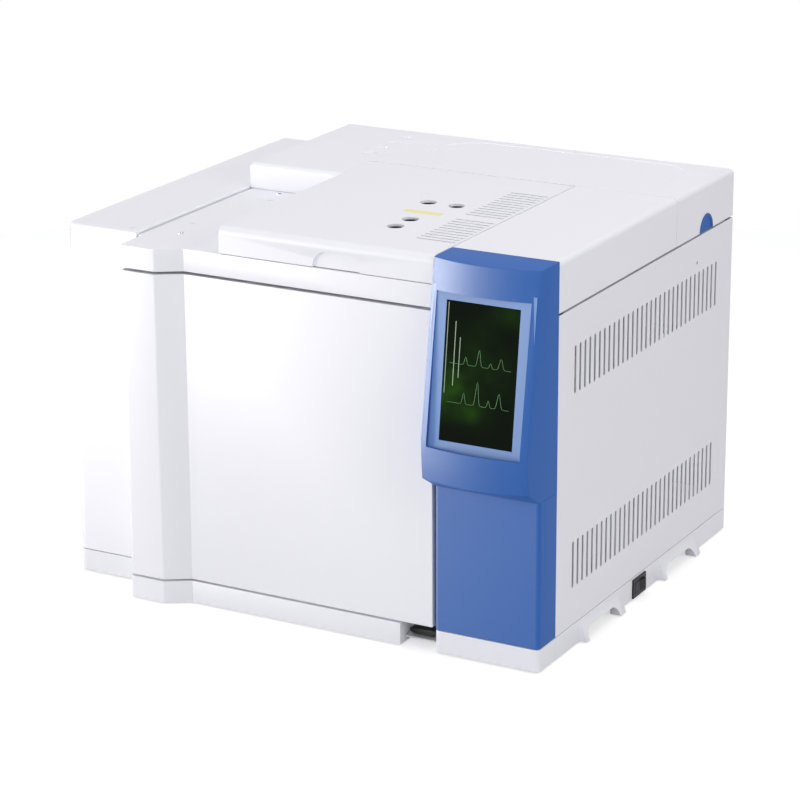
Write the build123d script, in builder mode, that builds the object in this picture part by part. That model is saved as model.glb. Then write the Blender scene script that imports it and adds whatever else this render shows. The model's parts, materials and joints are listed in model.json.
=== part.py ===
from build123d import *
import math
import os

# Gas chromatograph, in millimetres: +X right, +Y back, +Z up.
# The origin lies on the bench, under the middle of the instrument's outer box.

# ---- Body ----
body_width = 640.0
body_depth = 530.0
door_plane_y = -250.0
base_height = 29.0
rim_height = 2.0
seam = 1.0
top_z = 470.0
deck_drop = 33.0
slab_drop = 30.0
skirt_height = 59.5
cover_seam = 2.5
left_bay_width = 98.0
right_bay_width = 132.0
slab_setback = 29.4
blue_depth = 42.4
seat_gap = 0.3
sheet = 1.5
moulded = 2.5

side_x = body_width / 2
rear_y = door_plane_y + body_depth
slab_front_y = door_plane_y + slab_setback
slab_right_x = -side_x + left_bay_width
blue_left_x = side_x - right_bay_width
blue_back_y = door_plane_y + blue_depth
panel_bottom_z = base_height + seam
deck_z = top_z - deck_drop
slab_top_z = top_z - slab_drop
cover_bottom_z = top_z - skirt_height
shoulder_z = cover_bottom_z - cover_seam
slab_corner = 10.0
edge_corner = 5.0

# ---- Door and its column ----
column_gap = 7.7
column_width = 47.2
column_depth = 18.4
chamfer_run = 29.1
door_side_gap = 3.0
door_bottom_gap = 2.5
door_top_gap = 3.5
door_wall = 2.0
door_inner_sheet = 1.6
gasket_gap = 0.3
gasket_thickness = 4.5
gasket_width = 10.0
gasket_margin = 3.0
plug_clearance = 5.0
plug_depth = 17.4
column_shell_depth = 45.4
hinge_from_slab = 34.0
hinge_setback = 10.0
hinge_pin_radius = 4.0
hinge_running = 0.05
hinge_flange_radius = 9.0
hinge_boss_height = 8.0
bracket_thickness = 3.0
bracket_width = 28.0

door_left_x = slab_right_x + column_gap
column_right_x = door_left_x + column_width
chamfer_x = column_right_x + chamfer_run
column_front_y = door_plane_y - column_depth
door_right_x = blue_left_x - door_side_gap
door_bottom_z = base_height + door_bottom_gap
fascia_bottom_z = cover_bottom_z
door_top_z = fascia_bottom_z - door_top_gap
door_back_y = blue_back_y - gasket_gap - gasket_thickness - door_inner_sheet
column_back_y = column_front_y + column_shell_depth
hinge_x = slab_right_x + hinge_from_slab
hinge_y = door_plane_y + hinge_setback

# ---- Base ----
base_wall = 4.0
base_roof = 4.0
notch_width = 45.0
notch_depth = 38.0
grip_flare = 10.0
grip_length = 106.0
grip_front_y = -143.0
grip_pitch = 220.0
grip_drop = 2.5
arch_length = 85.0
arch_height = 16.0
arch_inset = 7.0
foot_radius = 17.0
foot_height = 6.0
foot_boss_radius = 20.0
foot_side_inset = 50.0
foot_front_inset = 50.0
foot_rear_inset = 50.0
rib_thickness = 3.0
rib_height = 14.0
rib_gap = 15.0
rib_from_foot = 140.0

arch_rise = arch_height - rim_height
notch_left_x = blue_left_x - notch_width
notch_back_y = door_plane_y + notch_depth
roof_under_z = base_height - base_roof
deck_plate_thickness = 2.0
deck_under_z = deck_z - moulded - deck_plate_thickness
chassis_y = blue_back_y + sheet
rear_inside_y = rear_y - sheet
floor_z = base_height + sheet
bulkhead_rear_gap = 2.0
bulkhead_rear_y = rear_inside_y - bulkhead_rear_gap

# ---- Oven ----
gas_bay_width = 74.0
port_block_height = 16.0
oven_depth = 191.1
insulation_side = 30.0
insulation_below = 41.5
insulation_above = 38.5
insulation_rear = 52.0

shell_left_x = slab_right_x + gas_bay_width
shell_right_x = blue_left_x
shell_top_z = deck_under_z - port_block_height
shell_bottom_z = floor_z
oven_left_x = shell_left_x + 2 * sheet + insulation_side
oven_right_x = shell_right_x - 2 * sheet - insulation_side
oven_top_z = shell_top_z - 2 * sheet - insulation_above
oven_floor_z = shell_bottom_z + 2 * sheet + insulation_below
oven_back_y = chassis_y + oven_depth
shell_back_y = oven_back_y + 2 * sheet + insulation_rear
oven_x = (oven_left_x + oven_right_x) / 2
oven_middle_z = (oven_floor_z + oven_top_z) / 2

fan_z = oven_middle_z
heater_side_gap = 31.0
heater_ring_pitch = 12.0
heater_fan_gap = 17.0
baffle_lap = 13.0
heater_ring_radius = oven_right_x - oven_x - heater_side_gap - heater_ring_pitch
fan_radius = heater_ring_radius - heater_fan_gap
fan_shaft_radius = 5.0
fan_running = 0.05
fan_blades = 12
fan_blade_height = 16.0
fan_hub_radius = 14.0
shaft_hole = 8.0
shaft_tunnel = 12.0
motor_gap = 20.0
motor_radius = 42.0
motor_length = 57.0
motor_flange = 96.0
motor_bolt = 35.0
heater_wire = 3.0
heater_setback = 15.0
baffle_setback = 36.0
baffle_thickness = 1.2
baffle_hole = fan_radius - baffle_lap
baffle_edge = 3.0
baffle_post = 4.0
duct_size = 44.0
duct_x = oven_right_x - 25.0
duct_z = oven_top_z - 35.0

column_rise = 10.0
column_from_front = 81.1
column_side_gap = 43.0
column_band = 10.0
column_z = oven_middle_z + column_rise
column_y = chassis_y + column_from_front
column_inner = oven_right_x - oven_x - column_side_gap - column_band
column_length = 30.0
rack_wire = 1.5
rack_gap = 0.2

# ---- Injectors and detectors ----
port_inset = 99.5
port_x = blue_left_x - port_inset
injector_front_y = -156.5
injector_pitch = 35.6
detector_y = -42.5
detector_pitch = 37.0
needle_hole_radius = 10.0
injector_stem = 8.0
detector_stem = 5.0
stem_fit = 0.05
stem_hole_clear = 0.5
port_flange = 13.0
block_margin = 12.0
column_end_drop = 9.0
well_left = 128.5
well_right = 76.5
well_front = 38.5
well_back = 37.5

injector_ys = [injector_front_y, injector_front_y + injector_pitch]
detector_xs = [port_x - detector_pitch / 2, port_x + detector_pitch / 2]
injector_spots = [(port_x, y) for y in injector_ys]
detector_spots = [(x, detector_y) for x in detector_xs]

# ---- Lid ----
lid_reach = 278.0
lid_left_x = blue_left_x - lid_reach
lid_side_gap = 0.8
lid_rear_y = 108.0
lid_seam = 1.0
lid_wall = 3.0
apron_wall = 5.0
lid_hinge_inset = 6.0
lid_hinge_drop = 4.5
lid_pin_radius = 1.5
lid_running = 0.05
lid_knuckle_radius = 3.2
lid_knuckle_length = 10.0
lid_ear = 2.0
lid_ear_radius = 2.5
lid_hinge_span = 224.0
vent_length = 50.0
vent_width = 3.4
vent_pitch = 10.4
vent_edge = 3.7
scoop_width = 60.0
scoop_height = 18.0
scoop_depth = 3.0
scoop_x = lid_left_x + 154.0

lid_right_x = blue_left_x - lid_side_gap
lid_bottom_z = deck_z + lid_seam
lid_hinge_y = lid_rear_y - lid_hinge_inset
lid_hinge_z = top_z - lid_hinge_drop

# ---- Back cover ----
back_gap = 1.6
back_wall = 2.5
arm_front_y = 34.0
back_left_gap = 0.5
pull_y = rear_y - 82.0
pull_half_width = 20.0
pull_height = 21.0
pull_fit = 0.1
dimple_radius = 8.5
dimple_x = lid_left_x - 23.0
dimple_y = 143.0
dimple_pitch = 31.0
panel_recess = 0.8
recess_end_gap = 39.5
recess_width = 112.0
recess_corner = 50.0
recess_shift = 10.0

back_front_y = lid_rear_y + back_gap
back_left_x = slab_right_x + back_left_gap

# ---- Vents, screws, rear fittings ----
slot_length = 56.5
slot_width = 4.6
slot_pitch = 12.74
slot_count = 32
slot_first_y = -164.0
slot_low_z = panel_bottom_z + 73.2
slot_high_z = shoulder_z - 72.5
side_flange = 18.5
side_flange_end = 18.0
screw_head = 3.4
screw_shank = 1.9
screw_hole = 2.1
screw_length = 6.0
fitting_x = slab_right_x - 23.0
fitting_z = 185.0
fitting_pitch = 35.0
fitting_radius = 4.0
fitting_reach = 15.0
tube_radius = 1.5
inlet_x = side_x - 50.0
inlet_z = 70.0
cooling_x = side_x - 65.0
cooling_z = 220.0
cooling_size = 80.0
cooling_depth = 25.0
cooling_pin = 2.0
cooling_running = 0.05

# ---- Display ----
head_height = 266.0
lip_height = 18.0
belly_height = 64.0
head_bottom_z = top_z - head_height
lip_z = head_bottom_z + lip_height
belly_z = head_bottom_z + belly_height
bulge = 13.0
screen_width = 90.0
screen_height = 157.0
pad_width = 115.5
pad_height = 175.0
pad_z = top_z - 122.2
pad_y = -269.0
pad_tilt = 7.23
blue_wall = 3.0

os.makedirs("parts", exist_ok=True)


def block(x, y, z, mode=Mode.ADD):
    """A box from x[0] to x[1], y[0] to y[1] and z[0] to z[1]."""
    with Locations(((x[0] + x[1]) / 2, (y[0] + y[1]) / 2, (z[0] + z[1]) / 2)):
        Box(x[1] - x[0], y[1] - y[0], z[1] - z[0], mode=mode)


def rod_x(y, z, radius, x, mode=Mode.ADD):
    """A round bar along X from x[0] to x[1]."""
    with Locations(((x[0] + x[1]) / 2, y, z)):
        Cylinder(radius, x[1] - x[0], rotation=(0, 90, 0), mode=mode)


def rod_y(x, z, radius, y, mode=Mode.ADD):
    """A round bar along Y from y[0] to y[1]."""
    with Locations((x, (y[0] + y[1]) / 2, z)):
        Cylinder(radius, y[1] - y[0], rotation=(90, 0, 0), mode=mode)


def rod_z(x, y, radius, z, mode=Mode.ADD):
    """A round bar along Z from z[0] to z[1]."""
    with Locations((x, y, (z[0] + z[1]) / 2)):
        Cylinder(radius, z[1] - z[0], mode=mode)


def save(builder, name):
    """Label the finished piece and write it as one STEP file."""
    builder.part.label = name
    export_step(builder.part, f"parts/{name}.step")


def facing_y(x, y, z):
    """A plane that looks to the front, with its own X to the right and its own Y up."""
    return Plane(origin=(x, y, z), x_dir=(1, 0, 0), z_dir=(0, -1, 0))


# ---- Base tray: a roof on a rim, with flared hand grips and the notch for the door button ----
def base_plan(inset):
    """The tray's outline, drawn back from its edge by the inset."""
    with BuildSketch() as plan:
        with BuildLine():
            Polyline(
                (-side_x, slab_front_y),
                (door_left_x, slab_front_y),
                (door_left_x, column_front_y),
                (column_right_x, column_front_y),
                (chamfer_x, door_plane_y),
                (notch_left_x, door_plane_y),
                (notch_left_x, notch_back_y),
                (blue_left_x, notch_back_y),
                (blue_left_x, blue_back_y),
                (side_x, blue_back_y),
                (side_x, rear_y),
                (-side_x, rear_y),
                close=True,
            )
        make_face()
        fillet(plan.vertices().group_by(Axis.X)[0].sort_by(Axis.Y)[0], slab_corner)
        fillet(plan.vertices().group_by(Axis.Y)[0], edge_corner)
        if inset > 0:
            offset(amount=-inset, kind=Kind.INTERSECTION)
    return plan.sketch


base_outer = base_plan(0.0)
base_inner = base_plan(base_wall)
switch_y = 19.0
switch_length = 36.0
switch_height = base_height - 5.0
switch_z = rim_height + 1.0 + switch_height / 2
switch_border = 2.0
switch_body = 20.0
foot_xs = [-side_x + foot_side_inset, side_x - foot_side_inset]
foot_ys = [blue_back_y + foot_front_inset, rear_y - foot_rear_inset]
foot_spots = [(x, y) for x in foot_xs for y in foot_ys]
grip_starts = [grip_front_y, grip_front_y + grip_pitch]
button_x = blue_left_x - notch_width / 2
button_z = 17.0
button_width = 37.0
button_height = 11.0
button_fit = 0.3
button_travel = 4.0
button_stem = 3.5
button_face_y = notch_back_y - 24.0
sleeve_length = 12.0
button_back_y = notch_back_y - 5.5

with BuildPart() as base_tray:
    with BuildSketch(Plane.XY.offset(rim_height)):
        add(base_outer)
    extrude(amount=base_height - rim_height)
    with BuildSketch(Plane.XY.offset(rim_height)):
        add(base_inner)
    extrude(amount=roof_under_z - rim_height, mode=Mode.SUBTRACT)
    for start in grip_starts:
        for side in (-1, 1):
            with BuildSketch(Plane.XZ.offset(-(start + grip_length))):
                with BuildLine():
                    Polyline(
                        (side * (side_x - base_wall), base_height - grip_drop),
                        (side * side_x, base_height - grip_drop),
                        (side * (side_x + grip_flare), rim_height + 1.0),
                        (side * (side_x + grip_flare), rim_height),
                        (side * (side_x - base_wall), rim_height),
                        close=True,
                    )
                make_face()
            extrude(amount=grip_length)
    for start in grip_starts:
        arch_y = start + arch_inset + arch_length / 2
        with BuildSketch(Plane.YZ.offset(-side_x - 2 * grip_flare)):
            with Locations((arch_y, rim_height)):
                RectangleRounded(arch_length, 2 * arch_rise, arch_rise - 0.1)
        extrude(amount=2 * grip_flare + 3 * base_wall, mode=Mode.SUBTRACT)
        with BuildSketch(Plane.YZ.offset(side_x + 2 * grip_flare)):
            with Locations((arch_y, rim_height)):
                RectangleRounded(arch_length, 2 * arch_rise, arch_rise - 0.1)
        extrude(amount=-(2 * grip_flare + 3 * base_wall), mode=Mode.SUBTRACT)
    for x, y in foot_spots:
        rod_z(x, y, foot_boss_radius, (foot_height, roof_under_z + 0.5))
    rib_z = (roof_under_z - rib_height, roof_under_z)
    for y in (grip_front_y + grip_length + rib_gap, grip_front_y + grip_pitch - rib_gap):
        block((-side_x + base_wall - 1.0, side_x - base_wall + 1.0), (y, y + rib_thickness), rib_z)
    for x in (foot_xs[0] + rib_from_foot, foot_xs[1] - rib_from_foot):
        block((x, x + rib_thickness), (notch_back_y + 1.0, rear_y - base_wall + 1.0), rib_z)
    rod_z(hinge_x, hinge_y, hinge_pin_radius + hinge_running, (0, base_height + 1.0), mode=Mode.SUBTRACT)
    stem_hole = button_stem + button_fit
    rod_y(button_x, button_z, stem_hole, (notch_back_y - 1, notch_back_y + 8), mode=Mode.SUBTRACT)
    block(
        (side_x - base_wall - 1.0, side_x + 1.0),
        (switch_y - switch_length / 2 + switch_border, switch_y + switch_length / 2 - switch_border),
        (switch_z - switch_height / 2 + switch_border, switch_z + switch_height / 2 - switch_border),
        mode=Mode.SUBTRACT,
    )
save(base_tray, "base_tray")

with BuildPart() as base_corner_cap:
    block((blue_left_x, side_x), (door_plane_y, blue_back_y), (rim_height, base_height))
    fillet(base_corner_cap.edges().filter_by(Axis.Z).group_by(Axis.Y)[0], edge_corner)
    block(
        (blue_left_x + base_wall, side_x - base_wall),
        (door_plane_y + base_wall, blue_back_y - base_wall),
        (rim_height, roof_under_z),
        mode=Mode.SUBTRACT,
    )
save(base_corner_cap, "base_corner_cap")

with BuildPart() as rubber_feet:
    for x, y in foot_spots:
        rod_z(x, y, foot_radius, (0, foot_height))
    chamfer(rubber_feet.edges().filter_by(GeomType.CIRCLE).group_by(Axis.Z)[0], 1.5)
save(rubber_feet, "rubber_feet")

# ---- Chassis ----
with BuildPart() as floor_plate:
    block((-side_x + sheet, side_x - sheet), (chassis_y, rear_inside_y), (base_height, floor_z))
save(floor_plate, "floor_plate")

with BuildPart() as chassis_front:
    block((slab_right_x, side_x - moulded), (blue_back_y, chassis_y), (base_height, deck_under_z))
    block(
        (oven_left_x, oven_right_x),
        (blue_back_y - 1.0, chassis_y + 1.0),
        (oven_floor_z, oven_top_z),
        mode=Mode.SUBTRACT,
    )
save(chassis_front, "chassis_front")

gas_line_z = shell_top_z + 8.0
gas_line_ys = [detector_y, injector_front_y + injector_pitch / 2]
with BuildPart() as left_bulkhead:
    block((slab_right_x, slab_right_x + sheet), (chassis_y, bulkhead_rear_y), (floor_z, deck_under_z))
    for y in gas_line_ys:
        wall = (slab_right_x - 1, slab_right_x + sheet + 1)
        rod_x(y, gas_line_z, tube_radius + 0.5, wall, mode=Mode.SUBTRACT)
save(left_bulkhead, "left_bulkhead")

right_bulkhead_x = blue_left_x + 3.0
with BuildPart() as right_bulkhead:
    block(
        (right_bulkhead_x, right_bulkhead_x + sheet),
        (chassis_y, bulkhead_rear_y),
        (floor_z, deck_under_z),
    )
save(right_bulkhead, "right_bulkhead")

duct_half = duct_size / 2
duct_wall = 1.5
rear_screws = [
    (x, z)
    for x in (-side_x + 20.0, slab_right_x - 20.0, blue_left_x + 20.0, side_x - 20.0)
    for z in (base_height + 20.0, shoulder_z - 20.0)
]
fitting_zs = [fitting_z - fitting_pitch, fitting_z, fitting_z + fitting_pitch]
inlet_half_width = 14.0
inlet_half_height = 12.0
grille_bars = 9
grille_pitch = 8.0
grille_slot = 4.5
grille_radius = 37.0
with BuildPart() as rear_panel:
    inner_x = side_x - sheet - seat_gap
    block((-inner_x, inner_x), (rear_inside_y, rear_y), (base_height, shoulder_z))
    block(
        (duct_x - duct_half + duct_wall, duct_x + duct_half - duct_wall),
        (rear_inside_y - 1, rear_y + 1),
        (duct_z - duct_half + duct_wall, duct_z + duct_half - duct_wall),
        mode=Mode.SUBTRACT,
    )
    block(
        (inlet_x - inlet_half_width - 0.5, inlet_x + inlet_half_width + 0.5),
        (rear_inside_y - 1, rear_y + 1),
        (inlet_z - inlet_half_height - 0.5, inlet_z + inlet_half_height + 0.5),
        mode=Mode.SUBTRACT,
    )
    for z in fitting_zs:
        rod_y(fitting_x, z, fitting_radius + 0.2, (rear_inside_y - 1, rear_y + 1), mode=Mode.SUBTRACT)
    for x, z in rear_screws:
        rod_y(x, z, screw_hole, (rear_inside_y - 1, rear_y + 1), mode=Mode.SUBTRACT)
    with BuildSketch(facing_y(cooling_x, rear_y + 1, cooling_z)):
        for bar in range(grille_bars):
            height = (bar - (grille_bars - 1) / 2) * grille_pitch
            with Locations((0, height)):
                SlotOverall(2 * math.sqrt(grille_radius**2 - height**2), grille_slot)
    extrude(amount=sheet + 2, mode=Mode.SUBTRACT)
save(rear_panel, "rear_panel")

deck_hole_x = slab_right_x + 82.0
deck_hole_y = -166.0
deck_hole_radius = 4.0
deck_screws = [(slab_right_x + 43.0, -191.0), (slab_right_x + 47.0, 24.0)]
slit_length = 9.0
slit_width = 1.6
with BuildPart() as deck_plate:
    block(
        (slab_right_x, right_bulkhead_x + sheet),
        (chassis_y, bulkhead_rear_y),
        (deck_under_z, deck_under_z + deck_plate_thickness),
    )
    for x, y in injector_spots:
        rod_z(x, y, injector_stem + stem_fit, (deck_under_z - 1, deck_z), mode=Mode.SUBTRACT)
    for x, y in detector_spots:
        rod_z(x, y, detector_stem + stem_fit, (deck_under_z - 1, deck_z), mode=Mode.SUBTRACT)
    rod_z(deck_hole_x, deck_hole_y, deck_hole_radius, (deck_under_z - 1, deck_z), mode=Mode.SUBTRACT)
save(deck_plate, "deck_plate")

# ---- Deck cover: the recessed deck and the strip above the door, in one moulding ----
deck_left_x = slab_right_x + 3.5
deck_right_x = blue_left_x - 0.5
deck_rear_y = back_front_y + 12.0
deck_slits = [(slab_right_x + 31.0, -147.0), (slab_right_x + 56.0, -10.0)]


def fascia_plan(inset):
    """The strip's outline above the door and its column."""
    with BuildSketch() as plan:
        with BuildLine():
            Polyline(
                (door_left_x, blue_back_y),
                (door_left_x, column_front_y),
                (column_right_x, column_front_y),
                (chamfer_x, door_plane_y),
                (deck_right_x, door_plane_y),
                (deck_right_x, blue_back_y),
                close=True,
            )
        make_face()
        fillet(plan.vertices().group_by(Axis.Y)[0], edge_corner)
        if inset > 0:
            offset(amount=-inset, kind=Kind.INTERSECTION)
    return plan.sketch


fascia_outer = fascia_plan(0.0)
fascia_inner = fascia_plan(moulded)
with BuildPart() as deck_cover:
    with BuildSketch(Plane.XY.offset(fascia_bottom_z)):
        add(fascia_outer)
    extrude(amount=deck_z - fascia_bottom_z)
    with BuildSketch(Plane.XY.offset(fascia_bottom_z)):
        add(fascia_inner)
    extrude(amount=deck_z - moulded - fascia_bottom_z, mode=Mode.SUBTRACT)
    block(
        (door_left_x - 1, deck_right_x + 1),
        (blue_back_y - moulded - 0.1, blue_back_y + 1),
        (fascia_bottom_z - 1, deck_z - moulded),
        mode=Mode.SUBTRACT,
    )
    block((deck_left_x, deck_right_x), (slab_front_y, deck_rear_y), (deck_z - moulded, deck_z))
    block(
        (port_x - well_left, port_x + well_right),
        (injector_front_y - well_front, detector_y + well_back),
        (deck_z - moulded - 1, deck_z + 1),
        mode=Mode.SUBTRACT,
    )
    rod_z(deck_hole_x, deck_hole_y, deck_hole_radius, (deck_z - moulded, deck_z + 1), mode=Mode.SUBTRACT)
    with BuildSketch(Plane.XY.offset(deck_z + 1)):
        with Locations(*deck_slits):
            SlotOverall(slit_length, slit_width)
    extrude(amount=-1 - moulded, mode=Mode.SUBTRACT)
    for x, y in deck_screws:
        rod_z(x, y, screw_hole, (deck_z - moulded, deck_z + 1), mode=Mode.SUBTRACT)
save(deck_cover, "deck_cover")

# ---- Left compartment ----
side_screw_y = 173.0
side_screw_z = shoulder_z - 32.0
with BuildPart() as left_side_shell:
    with BuildSketch(Plane.XY.offset(panel_bottom_z)) as shell_plan:
        with BuildLine():
            Polyline(
                (-side_x, rear_y),
                (-side_x, slab_front_y),
                (slab_right_x, slab_front_y),
                (slab_right_x, chassis_y),
                (slab_right_x - sheet, chassis_y),
                (slab_right_x - sheet, slab_front_y + sheet),
                (-side_x + sheet, slab_front_y + sheet),
                (-side_x + sheet, rear_y),
                close=True,
            )
        make_face()
        fillet(shell_plan.vertices().sort_by_distance((-side_x, slab_front_y))[0], slab_corner)
        inner_corner = (-side_x + sheet, slab_front_y + sheet)
        fillet(shell_plan.vertices().sort_by_distance(inner_corner)[0], slab_corner - sheet)
    extrude(amount=cover_bottom_z - panel_bottom_z)
    rod_x(side_screw_y, side_screw_z, screw_hole, (-side_x - 1, -side_x + sheet + 1), mode=Mode.SUBTRACT)
save(left_side_shell, "left_side_shell")

cap_bottom_z = cover_bottom_z + seat_gap
cap_slit = (slab_right_x - 16.0, -205.0)
with BuildPart() as left_top_cap:
    block((-side_x, slab_right_x), (slab_front_y, rear_y), (cap_bottom_z, slab_top_z))
    upright_edges = left_top_cap.edges().filter_by(Axis.Z)
    fillet(upright_edges.sort_by_distance((-side_x, slab_front_y, slab_top_z))[0], slab_corner)
    fillet(left_top_cap.faces().sort_by(Axis.Z)[-1].edges(), 3.0)
    block(
        (-side_x + moulded, slab_right_x - moulded),
        (slab_front_y + moulded, rear_y - moulded),
        (cap_bottom_z, slab_top_z - moulded),
        mode=Mode.SUBTRACT,
    )
    for y in gas_line_ys:
        block(
            (slab_right_x - 2 * moulded, slab_right_x + 1),
            (y - tube_radius - 1.0, y + tube_radius + 1.0),
            (cap_bottom_z - 1, gas_line_z + tube_radius + 1.0),
            mode=Mode.SUBTRACT,
        )
    with BuildSketch(Plane.XY.offset(slab_top_z + 1)):
        with Locations(cap_slit):
            SlotOverall(slit_length, slit_width)
    extrude(amount=-1 - moulded - 0.5, mode=Mode.SUBTRACT)
save(left_top_cap, "left_top_cap")

# ---- Right side panel, with its two rows of vent slots ----
slot_centre_y = slot_first_y + (slot_count - 1) * slot_pitch / 2
with BuildPart() as right_side_panel:
    block((side_x - sheet, side_x), (blue_back_y, rear_y), (panel_bottom_z, shoulder_z))
    block(
        (side_x - sheet - side_flange, side_x - sheet),
        (blue_back_y + side_flange_end, rear_y - side_flange_end),
        (shoulder_z - sheet, shoulder_z),
    )
    with BuildSketch(Plane.YZ.offset(side_x - 2 * sheet)):
        with Locations((slot_centre_y, (slot_low_z + slot_high_z) / 2)):
            with GridLocations(slot_pitch, slot_high_z - slot_low_z, slot_count, 2):
                SlotOverall(slot_length, slot_width, rotation=90)
    extrude(amount=3 * sheet, mode=Mode.SUBTRACT)
    rod_x(side_screw_y, side_screw_z, screw_hole, (side_x - sheet - 1, side_x + 1), mode=Mode.SUBTRACT)
save(right_side_panel, "right_side_panel")

cover_rear_y = lid_rear_y + 1.0
cover_seat_z = deck_under_z + deck_plate_thickness
with BuildPart() as right_top_cover:
    block((blue_left_x, side_x), (blue_back_y, cover_rear_y), (cover_bottom_z, top_z))
    fillet(right_top_cover.edges().filter_by(Axis.Y).sort_by_distance((side_x, 0, top_z))[0], 7.0)
    block(
        (blue_left_x + moulded, side_x - moulded),
        (blue_back_y + moulded, cover_rear_y - moulded),
        (cover_bottom_z - 1, top_z - moulded),
        mode=Mode.SUBTRACT,
    )
    block(
        (blue_left_x - 1, side_x - moulded),
        (blue_back_y - 1, cover_rear_y + 1),
        (cover_bottom_z - 1, cover_seat_z),
        mode=Mode.SUBTRACT,
    )
save(right_top_cover, "right_top_cover")


# ---- Back cover: lifts off; its arm reaches forward beside the lid ----
def back_plan(inset):
    """The back cover's outline."""
    with BuildSketch() as plan:
        with BuildLine():
            Polyline(
                (back_left_x, arm_front_y),
                (lid_left_x - 0.5, arm_front_y),
                (lid_left_x - 0.5, back_front_y),
                (side_x, back_front_y),
                (side_x, rear_y),
                (back_left_x, rear_y),
                close=True,
            )
        make_face()
        if inset > 0:
            offset(amount=-inset, kind=Kind.INTERSECTION)
    return plan.sketch


back_outer = back_plan(0.0)
back_inner = back_plan(back_wall)
back_bottom_z = deck_z + seat_gap


def pull_outline(grow):
    """The pull's half oval, drawn on a plane that looks along X."""
    with Locations((pull_y, cover_bottom_z)):
        Ellipse(pull_half_width + grow, pull_height + grow)
    with Locations((pull_y, cover_bottom_z - pull_height)):
        Rectangle(3 * pull_half_width, 2 * pull_height, mode=Mode.SUBTRACT)


with BuildPart() as back_cover:
    with BuildSketch(Plane.XY.offset(back_bottom_z)):
        add(back_outer)
    extrude(amount=top_z - back_bottom_z)
    block((side_x - back_wall, side_x), (back_front_y, rear_y), (cover_bottom_z, back_bottom_z))
    block((back_left_x, side_x), (rear_y - back_wall, rear_y), (cover_bottom_z, back_bottom_z))
    top_edges = back_cover.faces().sort_by(Axis.Z)[-1].edges()
    soft_edges = [
        top_edges.filter_by(Axis.X).sort_by(Axis.Y)[0],
        top_edges.filter_by(Axis.X).sort_by(Axis.Y)[-1],
        top_edges.filter_by(Axis.Y).sort_by(Axis.X)[0],
        top_edges.filter_by(Axis.Y).sort_by(Axis.X)[-1],
    ]
    fillet(soft_edges, 7.0)
    with BuildSketch(Plane.XY.offset(back_bottom_z)):
        add(back_inner)
    extrude(amount=top_z - back_wall - 4.5 - back_bottom_z, mode=Mode.SUBTRACT)
    for dimple in range(4):
        spot_y = dimple_y + dimple * dimple_pitch
        rod_z(dimple_x, spot_y, dimple_radius, (top_z - 1.2, top_z + 1), mode=Mode.SUBTRACT)
    with BuildSketch(Plane.XY.offset(top_z + 1)):
        with Locations(((lid_left_x + side_x) / 2, (back_front_y + rear_y) / 2 + recess_shift)):
            RectangleRounded(side_x - lid_left_x - 2 * recess_end_gap, recess_width, recess_corner)
    extrude(amount=-1 - panel_recess, mode=Mode.SUBTRACT)
    with BuildSketch(Plane.YZ.offset(side_x - 2 * back_wall)):
        pull_outline(pull_fit)
    extrude(amount=3 * back_wall, mode=Mode.SUBTRACT)
save(back_cover, "back_cover")

with BuildPart() as cover_pull:
    with BuildSketch(Plane.YZ.offset(side_x - back_wall)):
        pull_outline(0.0)
    extrude(amount=back_wall + 0.4)
    with BuildSketch(Plane.YZ.offset(side_x - back_wall)):
        pull_outline(2.5)
    extrude(amount=-1.5)
    with BuildSketch(Plane.YZ.offset(side_x + 1)):
        pull_outline(-4.0)
    extrude(amount=-1.8, mode=Mode.SUBTRACT)
save(cover_pull, "cover_pull")

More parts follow.
